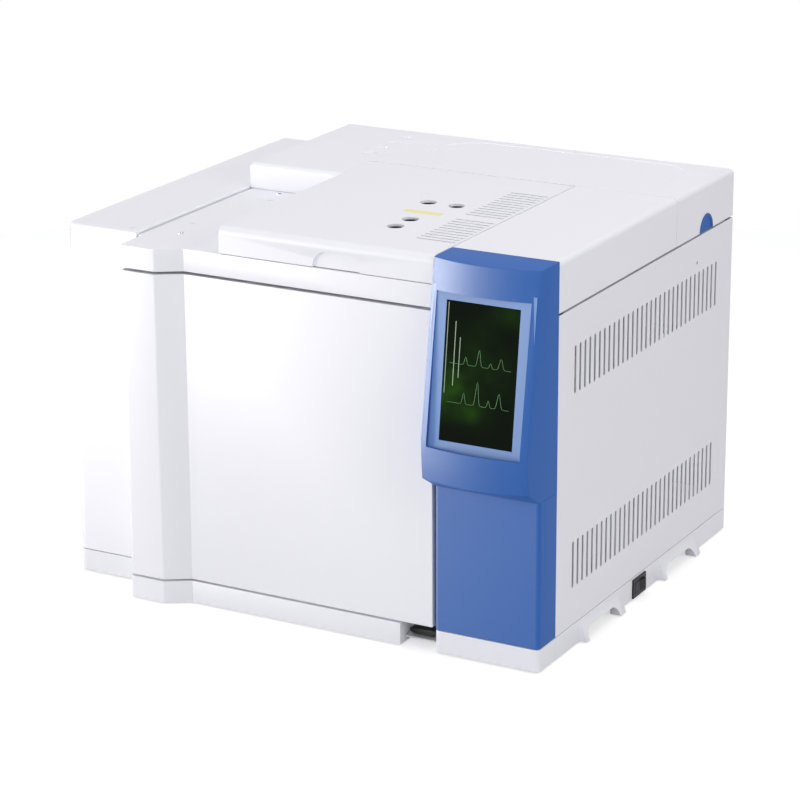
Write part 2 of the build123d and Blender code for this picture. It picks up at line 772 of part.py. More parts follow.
# ---- Lid over the injectors and detectors ----
hinge_mid_x = (lid_left_x + lid_right_x) / 2
knuckle_xs = [hinge_mid_x - lid_hinge_span / 2, hinge_mid_x + lid_hinge_span / 2]
vent_x = lid_right_x - vent_edge - vent_length / 2
with BuildPart() as lid:
    block((lid_left_x, lid_right_x), (door_plane_y, lid_rear_y), (lid_bottom_z, top_z))
    fillet(lid.edges().filter_by(Axis.X).sort_by_distance((0, door_plane_y, top_z))[0], 9.0)
    fillet(lid.edges().filter_by(Axis.X).sort_by_distance((0, lid_rear_y, top_z))[0], 2.5)
    block(
        (lid_left_x + lid_wall, lid_right_x - lid_wall),
        (door_plane_y + apron_wall, lid_rear_y + 1),
        (lid_bottom_z - 1, top_z - lid_wall - 4.5),
        mode=Mode.SUBTRACT,
    )
    block(
        (lid_left_x + lid_wall, lid_right_x - lid_wall),
        (door_plane_y + apron_wall + 6.0, lid_rear_y + 1),
        (lid_bottom_z - 1, top_z - lid_wall),
        mode=Mode.SUBTRACT,
    )
    for x, y in injector_spots + detector_spots:
        rod_z(x, y, needle_hole_radius, (top_z - 2 * lid_wall, top_z + 1), mode=Mode.SUBTRACT)
    with BuildSketch(Plane.XY.offset(top_z + 1)):
        with Locations((vent_x, -143.5)):
            with GridLocations(1, vent_pitch, 1, 10):
                SlotOverall(vent_length, vent_width)
        with Locations((vent_x, -14.0)):
            with GridLocations(1, vent_pitch, 1, 12):
                SlotOverall(vent_length, vent_width)
    extrude(amount=-2 * lid_wall, mode=Mode.SUBTRACT)
    with BuildSketch(facing_y(scoop_x, door_plane_y + scoop_depth, lid_bottom_z)):
        RectangleRounded(scoop_width, 2 * scoop_height, scoop_height - 0.5)
    extrude(amount=2 * scoop_depth, taper=-12, mode=Mode.SUBTRACT)
    for knuckle_x in knuckle_xs:
        knuckle = (knuckle_x, knuckle_x + lid_knuckle_length)
        rod_x(lid_hinge_y, lid_hinge_z, lid_knuckle_radius, knuckle)
        rod_x(
            lid_hinge_y,
            lid_hinge_z,
            lid_pin_radius + lid_running,
            (knuckle[0] - 1, knuckle[1] + 1),
            mode=Mode.SUBTRACT,
        )
        ear_room = (knuckle_x - lid_ear - 2 * seat_gap - 0.4, knuckle_x)
        block(
            ear_room,
            (lid_hinge_y - lid_ear_radius - 1.5, lid_rear_y + 1),
            (lid_hinge_z - 5.0, lid_hinge_z + lid_ear_radius + 0.4),
            mode=Mode.SUBTRACT,
        )
save(lid, "lid")

with BuildPart() as lid_hinges:
    for knuckle_x in knuckle_xs:
        ear = (knuckle_x - lid_ear - seat_gap, knuckle_x - seat_gap)
        rod_x(lid_hinge_y, lid_hinge_z, lid_ear_radius, ear)
        block(ear, (lid_hinge_y - lid_ear_radius, lid_hinge_y + lid_ear_radius), (deck_z, lid_hinge_z))
        foot = (ear[0] - 6.0, ear[1] + 6.0)
        block(foot, (lid_hinge_y - 7.0, lid_hinge_y + 5.0), (deck_z, deck_z + sheet))
        rod_x(lid_hinge_y, lid_hinge_z, lid_pin_radius, (ear[0], knuckle_x + lid_knuckle_length))
save(lid_hinges, "lid_hinges")

# ---- Oven door, in one piece with its column ----
door_points = [
    (door_left_x, column_front_y),
    (column_right_x, column_front_y),
    (chamfer_x, door_plane_y),
    (door_right_x, door_plane_y),
    (door_right_x, door_back_y),
    (chamfer_x - 8.0, door_back_y),
    (chamfer_x - 16.0, column_back_y),
    (door_left_x, column_back_y),
]


def door_plan(inset):
    """The door's outline from above."""
    with BuildSketch() as plan:
        with BuildLine():
            Polyline(*door_points, close=True)
        make_face()
        fillet(plan.vertices().group_by(Axis.Y)[0], 6.0)
        if inset > 0:
            offset(amount=-inset, kind=Kind.INTERSECTION)
    return plan.sketch


door_outer = door_plan(0.0)
door_inner = door_plan(door_wall)
door_room = (chamfer_x + door_wall, door_right_x - door_wall)
door_room_z = (door_bottom_z + door_wall, door_top_z - door_wall)
with BuildPart() as door_shell:
    with BuildSketch(Plane.XY.offset(door_bottom_z)):
        add(door_outer)
    extrude(amount=door_top_z - door_bottom_z)
    with BuildSketch(Plane.XY.offset(door_room_z[0])):
        add(door_inner)
    extrude(amount=door_room_z[1] - door_room_z[0], mode=Mode.SUBTRACT)
    block(door_room, (door_back_y - 2 * door_wall, door_back_y + 1), door_room_z, mode=Mode.SUBTRACT)
    rod_z(hinge_x, hinge_y, hinge_flange_radius, (door_bottom_z, door_room_z[0] + hinge_boss_height))
    rod_z(hinge_x, hinge_y, hinge_flange_radius, (door_room_z[1] - hinge_boss_height, door_top_z))
    rod_z(
        hinge_x,
        hinge_y,
        hinge_pin_radius + hinge_running,
        (door_bottom_z - 1, door_top_z + 1),
        mode=Mode.SUBTRACT,
    )
save(door_shell, "door_shell")

plug_x = (oven_left_x + plug_clearance, oven_right_x - plug_clearance)
plug_z = (oven_floor_z + plug_clearance, oven_top_z - plug_clearance)
plug_front_y = door_back_y + door_inner_sheet
plug_back_y = plug_front_y + plug_depth
with BuildPart() as door_insulation:
    block(
        (door_room[0] + 2.0, door_room[1] - seat_gap),
        (door_plane_y + door_wall + seat_gap, door_back_y),
        (door_room_z[0] + seat_gap, door_room_z[1] - seat_gap),
    )
    block(
        (plug_x[0] + sheet, plug_x[1] - sheet),
        (door_back_y, plug_back_y - sheet),
        (plug_z[0] + sheet, plug_z[1] - sheet),
    )
save(door_insulation, "door_insulation")

with BuildPart() as door_inner_panel:
    block(
        (door_room[0] - 1.0, door_right_x - 1.0),
        (door_back_y, plug_front_y),
        (door_bottom_z + 1.0, door_top_z - 1.0),
    )
    block(plug_x, (door_back_y, plug_back_y), plug_z)
    fillet(door_inner_panel.edges().filter_by(Axis.Y).group_by(SortBy.LENGTH)[-1], 6.0)
    block(
        (plug_x[0] + sheet, plug_x[1] - sheet),
        (door_back_y - 1, plug_back_y - sheet),
        (plug_z[0] + sheet, plug_z[1] - sheet),
        mode=Mode.SUBTRACT,
    )
save(door_inner_panel, "door_inner_panel")

gasket_in = gasket_margin
gasket_out = gasket_margin + gasket_width
with BuildPart() as door_gasket:
    block(
        (oven_left_x - gasket_out, oven_right_x + gasket_out),
        (plug_front_y, plug_front_y + gasket_thickness),
        (oven_floor_z - gasket_out, oven_top_z + gasket_out),
    )
    fillet(door_gasket.edges().filter_by(Axis.Y), gasket_width)
    block(
        (oven_left_x - gasket_in, oven_right_x + gasket_in),
        (plug_front_y - 1, plug_front_y + gasket_thickness + 1),
        (oven_floor_z - gasket_in, oven_top_z + gasket_in),
        mode=Mode.SUBTRACT,
    )
save(door_gasket, "door_gasket")

bracket_z = fascia_bottom_z + 0.5
with BuildPart() as hinge_pins:
    rod_z(hinge_x, hinge_y, hinge_pin_radius, (roof_under_z, door_room_z[0] + hinge_boss_height))
    rod_z(hinge_x, hinge_y, hinge_flange_radius, (base_height, door_bottom_z - seat_gap))
    upper_pin = (door_room_z[1] - hinge_boss_height, bracket_z + bracket_thickness)
    rod_z(hinge_x, hinge_y, hinge_pin_radius, upper_pin)
    rod_z(hinge_x, hinge_y, hinge_flange_radius, (door_top_z + seat_gap, bracket_z))
save(hinge_pins, "hinge_pins")

with BuildPart() as upper_hinge_bracket:
    bracket_x = (hinge_x - bracket_width / 2, hinge_x + bracket_width / 2)
    block(bracket_x, (hinge_y - bracket_width / 2, blue_back_y), (bracket_z, bracket_z + bracket_thickness))
    block(bracket_x, (blue_back_y - bracket_thickness, blue_back_y), (bracket_z, deck_under_z - 1.0))
    pin_hole = hinge_pin_radius + hinge_running
    rod_z(hinge_x, hinge_y, pin_hole, (bracket_z - 1, bracket_z + 10), mode=Mode.SUBTRACT)
save(upper_hinge_bracket, "upper_hinge_bracket")

catch_width = 18.0
catch_height = 12.0
catch_inset = 7.0
catch_gap = 3.0
catch_zs = [oven_floor_z - gasket_out - catch_gap - catch_height - 7.0, oven_top_z + gasket_out + catch_gap]
with BuildPart() as door_catches:
    for z in catch_zs:
        block(
            (door_right_x - catch_inset - catch_width, door_right_x - catch_inset),
            (plug_front_y + gasket_gap, blue_back_y),
            (z, z + catch_height),
        )
save(door_catches, "door_catches")

# ---- Door release button ----
with BuildPart() as button_surround:
    block(
        (notch_left_x + seat_gap, blue_left_x - seat_gap),
        (notch_back_y - sleeve_length, notch_back_y),
        (button_z - 9.0, base_height - seat_gap),
    )
    block(
        (notch_left_x + seat_gap, blue_left_x - seat_gap),
        (button_face_y - 2.0, notch_back_y),
        (button_z - 9.0, button_z - 7.0),
    )
    with BuildSketch(facing_y(button_x, notch_back_y + 1, button_z)):
        SlotOverall(button_width + 2 * button_fit, button_height + 2 * button_fit)
    extrude(amount=sleeve_length + 2, mode=Mode.SUBTRACT)
save(button_surround, "button_surround")

with BuildPart() as release_button:
    with BuildSketch(facing_y(button_x, button_back_y, button_z)):
        SlotOverall(button_width, button_height)
    extrude(amount=button_back_y - button_face_y)
    fillet(release_button.faces().sort_by(Axis.Y)[0].edges(), 2.5)
    rod_y(button_x, button_z, button_stem, (button_back_y - 1, notch_back_y + base_wall + button_travel))
    rod_y(
        button_x,
        button_z,
        button_stem + 2.5,
        (notch_back_y + base_wall + seat_gap, notch_back_y + base_wall + seat_gap + 2.0),
    )
save(release_button, "release_button")

# ---- Oven ----
liner_x = (oven_left_x - sheet, oven_right_x + sheet)
liner_z = (oven_floor_z - sheet, oven_top_z + sheet)
liner_y = (chassis_y, oven_back_y + sheet)
pack_x = (shell_left_x + sheet, shell_right_x - sheet)
pack_z = (shell_bottom_z + sheet, shell_top_z - sheet)
pack_y = (chassis_y, shell_back_y - sheet)
duct_x_span = (duct_x - duct_half, duct_x + duct_half)
duct_z_span = (duct_z - duct_half, duct_z + duct_half)


def oven_holes(shaft_radius):
    """Cut the ways through an oven wall for the shaft, the duct and the stems from above."""
    rod_y(oven_x, fan_z, shaft_radius, (oven_back_y - 1, shell_back_y + 1), mode=Mode.SUBTRACT)
    block(duct_x_span, (oven_back_y - 1, shell_back_y + 1), duct_z_span, mode=Mode.SUBTRACT)
    for x, y in injector_spots:
        rod_z(x, y, injector_stem + stem_hole_clear, (oven_top_z - 1, shell_top_z + 1), mode=Mode.SUBTRACT)
    for x, y in detector_spots:
        rod_z(x, y, detector_stem + stem_hole_clear, (oven_top_z - 1, shell_top_z + 1), mode=Mode.SUBTRACT)


with BuildPart() as oven_shell:
    block((shell_left_x, shell_right_x), (chassis_y, shell_back_y), (shell_bottom_z, shell_top_z))
    block(pack_x, (chassis_y - 1, shell_back_y - sheet), pack_z, mode=Mode.SUBTRACT)
    oven_holes(shaft_tunnel)
save(oven_shell, "oven_shell")

with BuildPart() as oven_insulation:
    block(pack_x, pack_y, pack_z)
    block(liner_x, (chassis_y - 1, oven_back_y + sheet), liner_z, mode=Mode.SUBTRACT)
    oven_holes(shaft_tunnel)
save(oven_insulation, "oven_insulation")

with BuildPart() as oven_liner:
    block(liner_x, liner_y, liner_z)
    block(
        (oven_left_x, oven_right_x),
        (chassis_y - 1, oven_back_y),
        (oven_floor_z, oven_top_z),
        mode=Mode.SUBTRACT,
    )
    oven_holes(shaft_hole)
save(oven_liner, "oven_liner")

baffle_y = oven_back_y - baffle_setback
baffle_posts = [
    (oven_left_x + 20.0, oven_floor_z + 25.0),
    (oven_right_x - 20.0, oven_floor_z + 25.0),
    (oven_left_x + 20.0, oven_top_z - 20.0),
    (duct_x_span[0] - 15.0, oven_top_z - 20.0),
]
with BuildPart() as air_baffle:
    block(
        (oven_left_x + baffle_edge, oven_right_x - baffle_edge),
        (baffle_y - baffle_thickness, baffle_y),
        (oven_floor_z + baffle_edge, oven_top_z - baffle_edge),
    )
    rod_y(oven_x, fan_z, baffle_hole, (baffle_y - 5, baffle_y + 5), mode=Mode.SUBTRACT)
    with BuildSketch(facing_y(oven_x, baffle_y + 1, oven_middle_z)):
        with GridLocations(46.0, oven_top_z - oven_floor_z - 30.0, 5, 2):
            SlotOverall(36.0, 6.0)
    extrude(amount=baffle_thickness + 2, mode=Mode.SUBTRACT)
    for x, z in baffle_posts:
        rod_y(x, z, baffle_post, (baffle_y - 0.5, oven_back_y))
save(air_baffle, "air_baffle")

heater_y = oven_back_y - heater_setback
with BuildPart() as oven_heater:
    for ring in range(2):
        with Locations((oven_x, heater_y, fan_z)):
            Torus(heater_ring_radius + ring * heater_ring_pitch, heater_wire, rotation=(90, 0, 0))
    for arm in range(4):
        angle = math.radians(45 + 90 * arm)
        reach = heater_ring_radius + heater_ring_pitch / 2
        with Locations(
            Location(
                (
                    oven_x + reach * math.cos(angle),
                    (heater_y + oven_back_y) / 2 - 1.0,
                    fan_z + reach * math.sin(angle),
                ),
                (0, -math.degrees(angle), 0),
            )
        ):
            Box(heater_ring_pitch + 14.0, heater_setback + 2.0, 6.0)
save(oven_heater, "oven_heater")

motor_y = shell_back_y + motor_gap
fan_back_y = oven_back_y - 13.5
with BuildPart() as oven_fan:
    rod_y(oven_x, fan_z, fan_radius, (fan_back_y, fan_back_y + sheet))
    rod_y(oven_x, fan_z, fan_hub_radius, (fan_back_y - fan_blade_height + 2, fan_back_y + 8.0))
    with BuildSketch(facing_y(oven_x, fan_back_y + 0.2, fan_z)):
        with PolarLocations((fan_radius + fan_hub_radius + 12.0) / 2, fan_blades):
            Rectangle(fan_radius - fan_hub_radius - 14.0, 1.5)
    extrude(amount=fan_blade_height)
    rod_y(oven_x, fan_z, fan_shaft_radius, (fan_back_y, motor_y + 20.0))
save(oven_fan, "oven_fan")

with BuildPart() as fan_motor:
    block(
        (oven_x - motor_flange / 2, oven_x + motor_flange / 2),
        (motor_y, motor_y + 3.0),
        (fan_z - motor_flange / 2, fan_z + motor_flange / 2),
    )
    rod_y(oven_x, fan_z, motor_radius, (motor_y + 2.0, motor_y + 3.0 + motor_length))
    rod_y(oven_x, fan_z, motor_radius - 12.0, (motor_y + motor_length, motor_y + motor_length + 11.0))
    for dx in (-motor_bolt, motor_bolt):
        for dz in (-motor_bolt, motor_bolt):
            rod_y(oven_x + dx, fan_z + dz, 4.0, (shell_back_y, motor_y + 1.0))
    rod_y(oven_x, fan_z, fan_shaft_radius + fan_running, (motor_y - 1, motor_y + 21.0), mode=Mode.SUBTRACT)
save(fan_motor, "fan_motor")

rack_radius = column_inner - rack_gap - rack_wire
rack_y = column_y + column_length / 2 + rack_gap + rack_wire
stem_offset = 30.0
with BuildPart() as column_rack:
    ring_y = (rack_y - rack_wire, rack_y + rack_wire)
    rod_y(oven_x, column_z, rack_radius + rack_wire, ring_y)
    rod_y(oven_x, column_z, rack_radius - rack_wire, (rack_y - 5, rack_y + 5), mode=Mode.SUBTRACT)
    for prong in range(6):
        angle = math.radians(60 * prong + 30)
        rod_y(
            oven_x + rack_radius * math.cos(angle),
            column_z + rack_radius * math.sin(angle),
            rack_wire - 0.2,
            (column_y - column_length / 2 - 6.0, rack_y + 1.0),
        )
    for dx in (-stem_offset, stem_offset):
        rod_z(
            oven_x + dx,
            rack_y,
            rack_wire - 0.2,
            (column_z + math.sqrt(rack_radius**2 - stem_offset**2), oven_top_z),
        )
    rod_x(rack_y, column_z, rack_wire - 0.2, (oven_x - rack_radius, oven_x + rack_radius))
save(column_rack, "column_rack")

with BuildPart() as capillary_column:
    rod_y(
        oven_x,
        column_z,
        column_inner + column_band,
        (column_y - column_length / 2, column_y + column_length / 2),
    )
    fillet(capillary_column.edges().filter_by(GeomType.CIRCLE), 2.0)
    column_span = (column_y - column_length, column_y + column_length)
    rod_y(oven_x, column_z, column_inner, column_span, mode=Mode.SUBTRACT)
save(capillary_column, "capillary_column")

# ---- Injectors and detectors ----
deck_top_z = deck_under_z + deck_plate_thickness
side_line = 22.0
igniter_reach = 20.0
igniter_rise = 11.0
injector_head_z = deck_top_z + 15.5
detector_head_z = deck_top_z + 17.5
with BuildPart() as injectors:
    for x, y in injector_spots:
        rod_z(x, y, port_flange, (deck_top_z, deck_top_z + 3.5))
        rod_z(x, y, 10.0, (deck_top_z, injector_head_z))
        rod_z(x, y, injector_stem, (oven_top_z - column_end_drop, deck_top_z + 1))
        rod_z(x, y, injector_stem - 2.0, (oven_top_z - column_end_drop - 6.0, oven_top_z))
        rod_x(y, deck_top_z + 9.0, 2.0, (x - side_line, x))
        rod_z(x, y, 1.0, (injector_head_z - 10.0, injector_head_z + 1), mode=Mode.SUBTRACT)
save(injectors, "injectors")

with BuildPart() as septum_nuts:
    for x, y in injector_spots:
        rod_z(x, y, 11.0, (injector_head_z, injector_head_z + 10.0))
    chamfer(septum_nuts.edges().filter_by(GeomType.CIRCLE).group_by(Axis.Z)[-1], 1.0)
    for x, y in injector_spots:
        with Locations((x, y, injector_head_z + 8.0)):
            Cone(1.0, 4.0, 4.0, mode=Mode.SUBTRACT)
        rod_z(x, y, 1.0, (injector_head_z - 1, injector_head_z + 11.0), mode=Mode.SUBTRACT)
        with Locations((x, y, injector_head_z + 5.0)):
            with PolarLocations(11.4, 14):
                Cylinder(1.0, 12.0, mode=Mode.SUBTRACT)
save(septum_nuts, "septum_nuts")

with BuildPart() as detectors:
    for x, y in detector_spots:
        rod_z(x, y, port_flange, (deck_top_z, deck_top_z + 3.5))
        rod_z(x, y, 10.0, (deck_top_z, detector_head_z))
        rod_z(x, y, detector_stem, (oven_top_z - column_end_drop, deck_top_z + 1))
        rod_y(x, deck_top_z + igniter_rise, 3.0, (y, y + igniter_reach))
save(detectors, "detectors")

with BuildPart() as detector_caps:
    for x, y in detector_spots:
        rod_z(x, y, 11.0, (detector_head_z, detector_head_z + 8.0))
    chamfer(detector_caps.edges().filter_by(GeomType.CIRCLE).group_by(Axis.Z)[-1], 1.0)
    for x, y in detector_spots:
        rod_z(x, y, 3.0, (detector_head_z - 1, detector_head_z + 9.0), mode=Mode.SUBTRACT)
save(detector_caps, "detector_caps")

injector_block_left = port_x - injector_stem - block_margin
detector_block_left = detector_xs[0] - detector_stem - block_margin - 3.0
with BuildPart() as heater_blocks:
    block(
        (injector_block_left, port_x + injector_stem + block_margin),
        (injector_ys[0] - injector_stem - block_margin, injector_ys[1] + injector_stem + block_margin),
        (shell_top_z, deck_under_z),
    )
    block(
        (detector_block_left, detector_xs[1] + detector_stem + block_margin + 3.0),
        (detector_y - detector_stem - block_margin, detector_y + detector_stem + block_margin),
        (shell_top_z, deck_under_z),
    )
    for x, y in injector_spots:
        rod_z(x, y, injector_stem + stem_fit, (shell_top_z - 1, deck_under_z + 1), mode=Mode.SUBTRACT)
    for x, y in detector_spots:
        rod_z(x, y, detector_stem + stem_fit, (shell_top_z - 1, deck_under_z + 1), mode=Mode.SUBTRACT)
save(heater_blocks, "heater_blocks")

# ---- Exhaust duct and its flap ----
with BuildPart() as exhaust_duct:
    block(duct_x_span, (oven_back_y, rear_inside_y), duct_z_span)
    block(
        (duct_x_span[0] + duct_wall, duct_x_span[1] - duct_wall),
        (oven_back_y - 1, rear_inside_y + 1),
        (duct_z_span[0] + duct_wall, duct_z_span[1] - duct_wall),
        mode=Mode.SUBTRACT,
    )
save(exhaust_duct, "exhaust_duct")

flap_margin = 4.0
flap_gap = 0.4
flap_thickness = 1.6
flap_pin = 1.5
flap_barrel = 3.0
flap_axis_y = rear_y + 3.5
flap_axis_z = duct_z_span[1] + 7.0
with BuildPart() as vent_flap:
    block(
        (duct_x_span[0] - flap_margin, duct_x_span[1] + flap_margin),
        (rear_y + flap_gap, rear_y + flap_gap + flap_thickness),
        (duct_z_span[0] - flap_margin, flap_axis_z - 4.5),
    )
    block(
        (duct_x_span[0] + 4.0, duct_x_span[1] - 4.0),
        (rear_y + flap_gap, rear_y + flap_gap + flap_thickness),
        (flap_axis_z - 5.0, flap_axis_z),
    )
    rod_x(flap_axis_y, flap_axis_z, flap_barrel, (duct_x_span[0] + 4.0, duct_x_span[1] - 4.0))
    rod_x(flap_axis_y, flap_axis_z, flap_pin + 0.05, (duct_x_span[0], duct_x_span[1]), mode=Mode.SUBTRACT)
save(vent_flap, "vent_flap")

with BuildPart() as flap_hinge:
    for ear_x in (duct_x_span[0] - 1.0, duct_x_span[1] - 2.7):
        block((ear_x, ear_x + 3.7), (rear_y, flap_axis_y + 3.0), (flap_axis_z - 3.5, flap_axis_z + 3.0))
    rod_x(flap_axis_y, flap_axis_z, flap_pin, (duct_x_span[0] - 1.0, duct_x_span[1] + 1.0))
save(flap_hinge, "flap_hinge")

# ---- Gas side, in the left compartment ----
manifold_depth = 46.0
manifold_y = (-160.0, 120.0)
manifold_z = (fitting_zs[0] - 15.0, fitting_zs[-1] + 25.0)
manifold_left_x = slab_right_x - manifold_depth
first_valve = 40.0
valve_pitch = 66.0
valve_half = 16.0
valve_reach = 30.0
with BuildPart() as gas_manifold:
    block((manifold_left_x, slab_right_x), manifold_y, manifold_z)
    chamfer(gas_manifold.edges().filter_by(Axis.Y), 2.0)
save(gas_manifold, "gas_manifold")

with BuildPart() as flow_valves:
    for step in range(4):
        valve_y = manifold_y[0] + first_valve + step * valve_pitch
        valve_z = (manifold_z[0] + manifold_z[1]) / 2
        rod_x(valve_y, valve_z, valve_half - 3.0, (manifold_left_x - valve_reach, manifold_left_x))
        block(
            (manifold_left_x - valve_reach + 8.0, manifold_left_x - 4.0),
            (valve_y - valve_half, valve_y + valve_half),
            (valve_z - valve_half, valve_z + valve_half),
        )
save(flow_valves, "flow_valves")

gas_bend = 18.0
gas_rise_inset = 18.0
gas_rise_x = slab_right_x - gas_rise_inset
gas_ends = [detector_block_left, injector_block_left]
with BuildPart() as gas_tubes:
    for z in fitting_zs:
        rod_y(fitting_x, z, tube_radius, (manifold_y[1], rear_inside_y - 2.0))
    for y, end_x in zip(gas_line_ys, gas_ends):
        with BuildLine() as route:
            FilletPolyline(
                (gas_rise_x, y, manifold_z[1]),
                (gas_rise_x, y, gas_line_z),
                (end_x, y, gas_line_z),
                radius=gas_bend,
            )
        with BuildSketch(Plane.XY.offset(manifold_z[1])):
            with Locations((gas_rise_x, y)):
                Circle(tube_radius)
        sweep(path=route.wires()[0])
save(gas_tubes, "gas_tubes")

with BuildPart() as gas_fittings:
    for z in fitting_zs:
        rod_y(fitting_x, z, fitting_radius, (rear_inside_y - 10.0, rear_y + fitting_reach))
        with BuildSketch(facing_y(fitting_x, rear_y + 5.0, z)):
            RegularPolygon(7.0, 6)
        extrude(amount=5.0)
        with BuildSketch(facing_y(fitting_x, rear_inside_y, z)):
            RegularPolygon(7.0, 6)
        extrude(amount=5.0)
        bore = (rear_inside_y - 11.0, rear_inside_y - 2.0)
        rod_y(fitting_x, z, tube_radius + 0.1, bore, mode=Mode.SUBTRACT)
        rod_y(fitting_x, z, tube_radius, (rear_y + 2.0, rear_y + fitting_reach + 1), mode=Mode.SUBTRACT)
save(gas_fittings, "gas_fittings")

# ---- Electronics, in the right compartment ----
supply_x = (blue_left_x + 17.0, side_x - 20.0)
supply_y = (-130.0, 30.0)
supply_top_z = floor_z + 80.0
supply_slot = 60.0
with BuildPart() as power_supply:
    block(supply_x, supply_y, (floor_z, supply_top_z))
    block(
        (supply_x[0] + sheet, supply_x[1] - sheet),
        (supply_y[0] + sheet, supply_y[1] - sheet),
        (floor_z - 1, supply_top_z - sheet),
        mode=Mode.SUBTRACT,
    )
    with BuildSketch(Plane.XY.offset(supply_top_z + 1)):
        with Locations(((supply_x[0] + supply_x[1]) / 2, (supply_y[0] + supply_y[1]) / 2)):
            with GridLocations(1, 12.0, 1, 9):
                SlotOverall(supply_slot, 4.0)
    extrude(amount=-sheet - 2, mode=Mode.SUBTRACT)
save(power_supply, "power_supply")

board_stand = 8.0
chip = 24.0
chip_pitch = 60.0
strip_inset = 30.0
board_x = right_bulkhead_x + sheet + board_stand
board_y = (-150.0, 150.0)
board_z = (oven_floor_z + 95.0, cover_bottom_z - 20.5)
with BuildPart() as main_board:
    block((board_x, board_x + 1.6), board_y, board_z)
    for y in (board_y[0] + 10.0, board_y[1] - 10.0):
        for z in (board_z[0] + 10.0, board_z[1] - 10.0):
            rod_x(y, z, 3.0, (right_bulkhead_x + sheet, board_x + 0.5))
    with BuildSketch(Plane.YZ.offset(board_x + 1.0)):
        with Locations(((board_y[0] + board_y[1]) / 2, (board_z[0] + board_z[1]) / 2)):
            with GridLocations(chip_pitch, chip_pitch - 10.0, 4, 3):
                Rectangle(chip, chip)
    extrude(amount=4.0)
    strip_y = (board_y[0] + strip_inset, board_y[1] - strip_inset)
    block((board_x + 1.0, board_x + 14.0), strip_y, (board_z[1] - 22.0, board_z[1] - 10.0))
save(main_board, "main_board")

cooling_half = cooling_size / 2
cooling_front_y = rear_inside_y - cooling_depth
with BuildPart() as cooling_fan_frame:
    block(
        (cooling_x - cooling_half, cooling_x + cooling_half),
        (cooling_front_y, rear_inside_y),
        (cooling_z - cooling_half, cooling_z + cooling_half),
    )
    fillet(cooling_fan_frame.edges().filter_by(Axis.Y), 4.0)
    rod_y(cooling_x, cooling_z, cooling_half - 2.5, (cooling_front_y - 1, rear_y), mode=Mode.SUBTRACT)
    rod_y(cooling_x, cooling_z, 17.0, (cooling_front_y, cooling_front_y + 2.5))
    block(
        (cooling_x - cooling_half + 1, cooling_x + cooling_half - 1),
        (cooling_front_y, cooling_front_y + 2.5),
        (cooling_z - 2.0, cooling_z + 2.0),
    )
    block(
        (cooling_x - 2.0, cooling_x + 2.0),
        (cooling_front_y, cooling_front_y + 2.5),
        (cooling_z - cooling_half + 1, cooling_z + cooling_half - 1),
    )
    rod_y(cooling_x, cooling_z, cooling_pin, (cooling_front_y, cooling_front_y + 18.0))
save(cooling_fan_frame, "cooling_fan_frame")

with BuildPart() as cooling_rotor:
    rod_y(cooling_x, cooling_z, 16.0, (cooling_front_y + 3.5, cooling_front_y + 21.0))
    for blade in range(7):
        with Locations(Location((cooling_x, cooling_front_y + 12.2, cooling_z), (0, blade * 360 / 7, 0))):
            Box(
                cooling_half - 4.5,
                18.0,
                1.5,
                rotation=(38, 0, 0),
                align=(Align.MIN, Align.CENTER, Align.CENTER),
            )
    rod_y(
        cooling_x,
        cooling_z,
        cooling_pin + cooling_running,
        (cooling_front_y, cooling_front_y + 18.5),
        mode=Mode.SUBTRACT,
    )
save(cooling_rotor, "cooling_rotor")

socket_depth = 15.0
with BuildPart() as mains_inlet:
    block(
        (inlet_x - inlet_half_width, inlet_x + inlet_half_width),
        (rear_y - socket_depth - 3.0, rear_y + 1),
        (inlet_z - inlet_half_height, inlet_z + inlet_half_height),
    )
    block(
        (inlet_x - inlet_half_width - 9.0, inlet_x + inlet_half_width + 9.0),
        (rear_y, rear_y + 3.0),
        (inlet_z - inlet_half_height - 2.0, inlet_z + inlet_half_height + 2.0),
    )
    block(
        (inlet_x - 12.3, inlet_x + 12.3),
        (rear_y + 3.0 - socket_depth, rear_y + 4.0),
        (inlet_z - 8.3, inlet_z + 8.3),
        mode=Mode.SUBTRACT,
    )
    for dx, dz in ((-7.0, -2.0), (7.0, -2.0), (0.0, 2.0)):
        block(
            (inlet_x + dx - 1.0, inlet_x + dx + 1.0),
            (rear_y + 2.0 - socket_depth, rear_y + 1.0),
            (inlet_z + dz - 2.0, inlet_z + dz + 2.0),
        )
save(mains_inlet, "mains_inlet")


# ---- Blue display column ----
def head_section(z, front_y, arc, inset):
    """One level of the display housing: square at the back, bowed at the front."""
    left = blue_left_x + inset
    right = side_x - inset
    with BuildSketch(Plane.XY.offset(z)) as level:
        with BuildLine():
            Line((left, blue_back_y), (left, front_y))
            ThreePointArc((left, front_y), ((left + right) / 2, front_y - arc), (right, front_y))
            Line((right, front_y), (right, blue_back_y))
            Line((right, blue_back_y), (left, blue_back_y))
        make_face()
    return level.sketch


lip_y = door_plane_y - 29.5
belly_y = door_plane_y - 32.0
outer_levels = [
    head_section(top_z, door_plane_y, bulge, 0.0),
    head_section(belly_z, belly_y, bulge, 0.0),
    head_section((belly_z + lip_z) / 2, belly_y + 0.6, bulge, 0.0),
    head_section(lip_z, lip_y, bulge, 0.0),
    head_section(head_bottom_z, door_plane_y - 0.5, 1.0, 0.0),
]
inner_levels = [
    head_section(top_z - blue_wall, door_plane_y + blue_wall, bulge - 1.0, blue_wall),
    head_section(belly_z, belly_y + blue_wall, bulge - 1.0, blue_wall),
    head_section((belly_z + lip_z) / 2, belly_y + 0.6 + blue_wall, bulge - 1.0, blue_wall),
    head_section(lip_z + 1.0, lip_y + blue_wall, bulge - 1.0, blue_wall),
    head_section(head_bottom_z, door_plane_y + blue_wall + 1.0, 1.0, blue_wall),
]
tilt = math.radians(pad_tilt)
pad_normal = (0, -math.cos(tilt), math.sin(tilt))
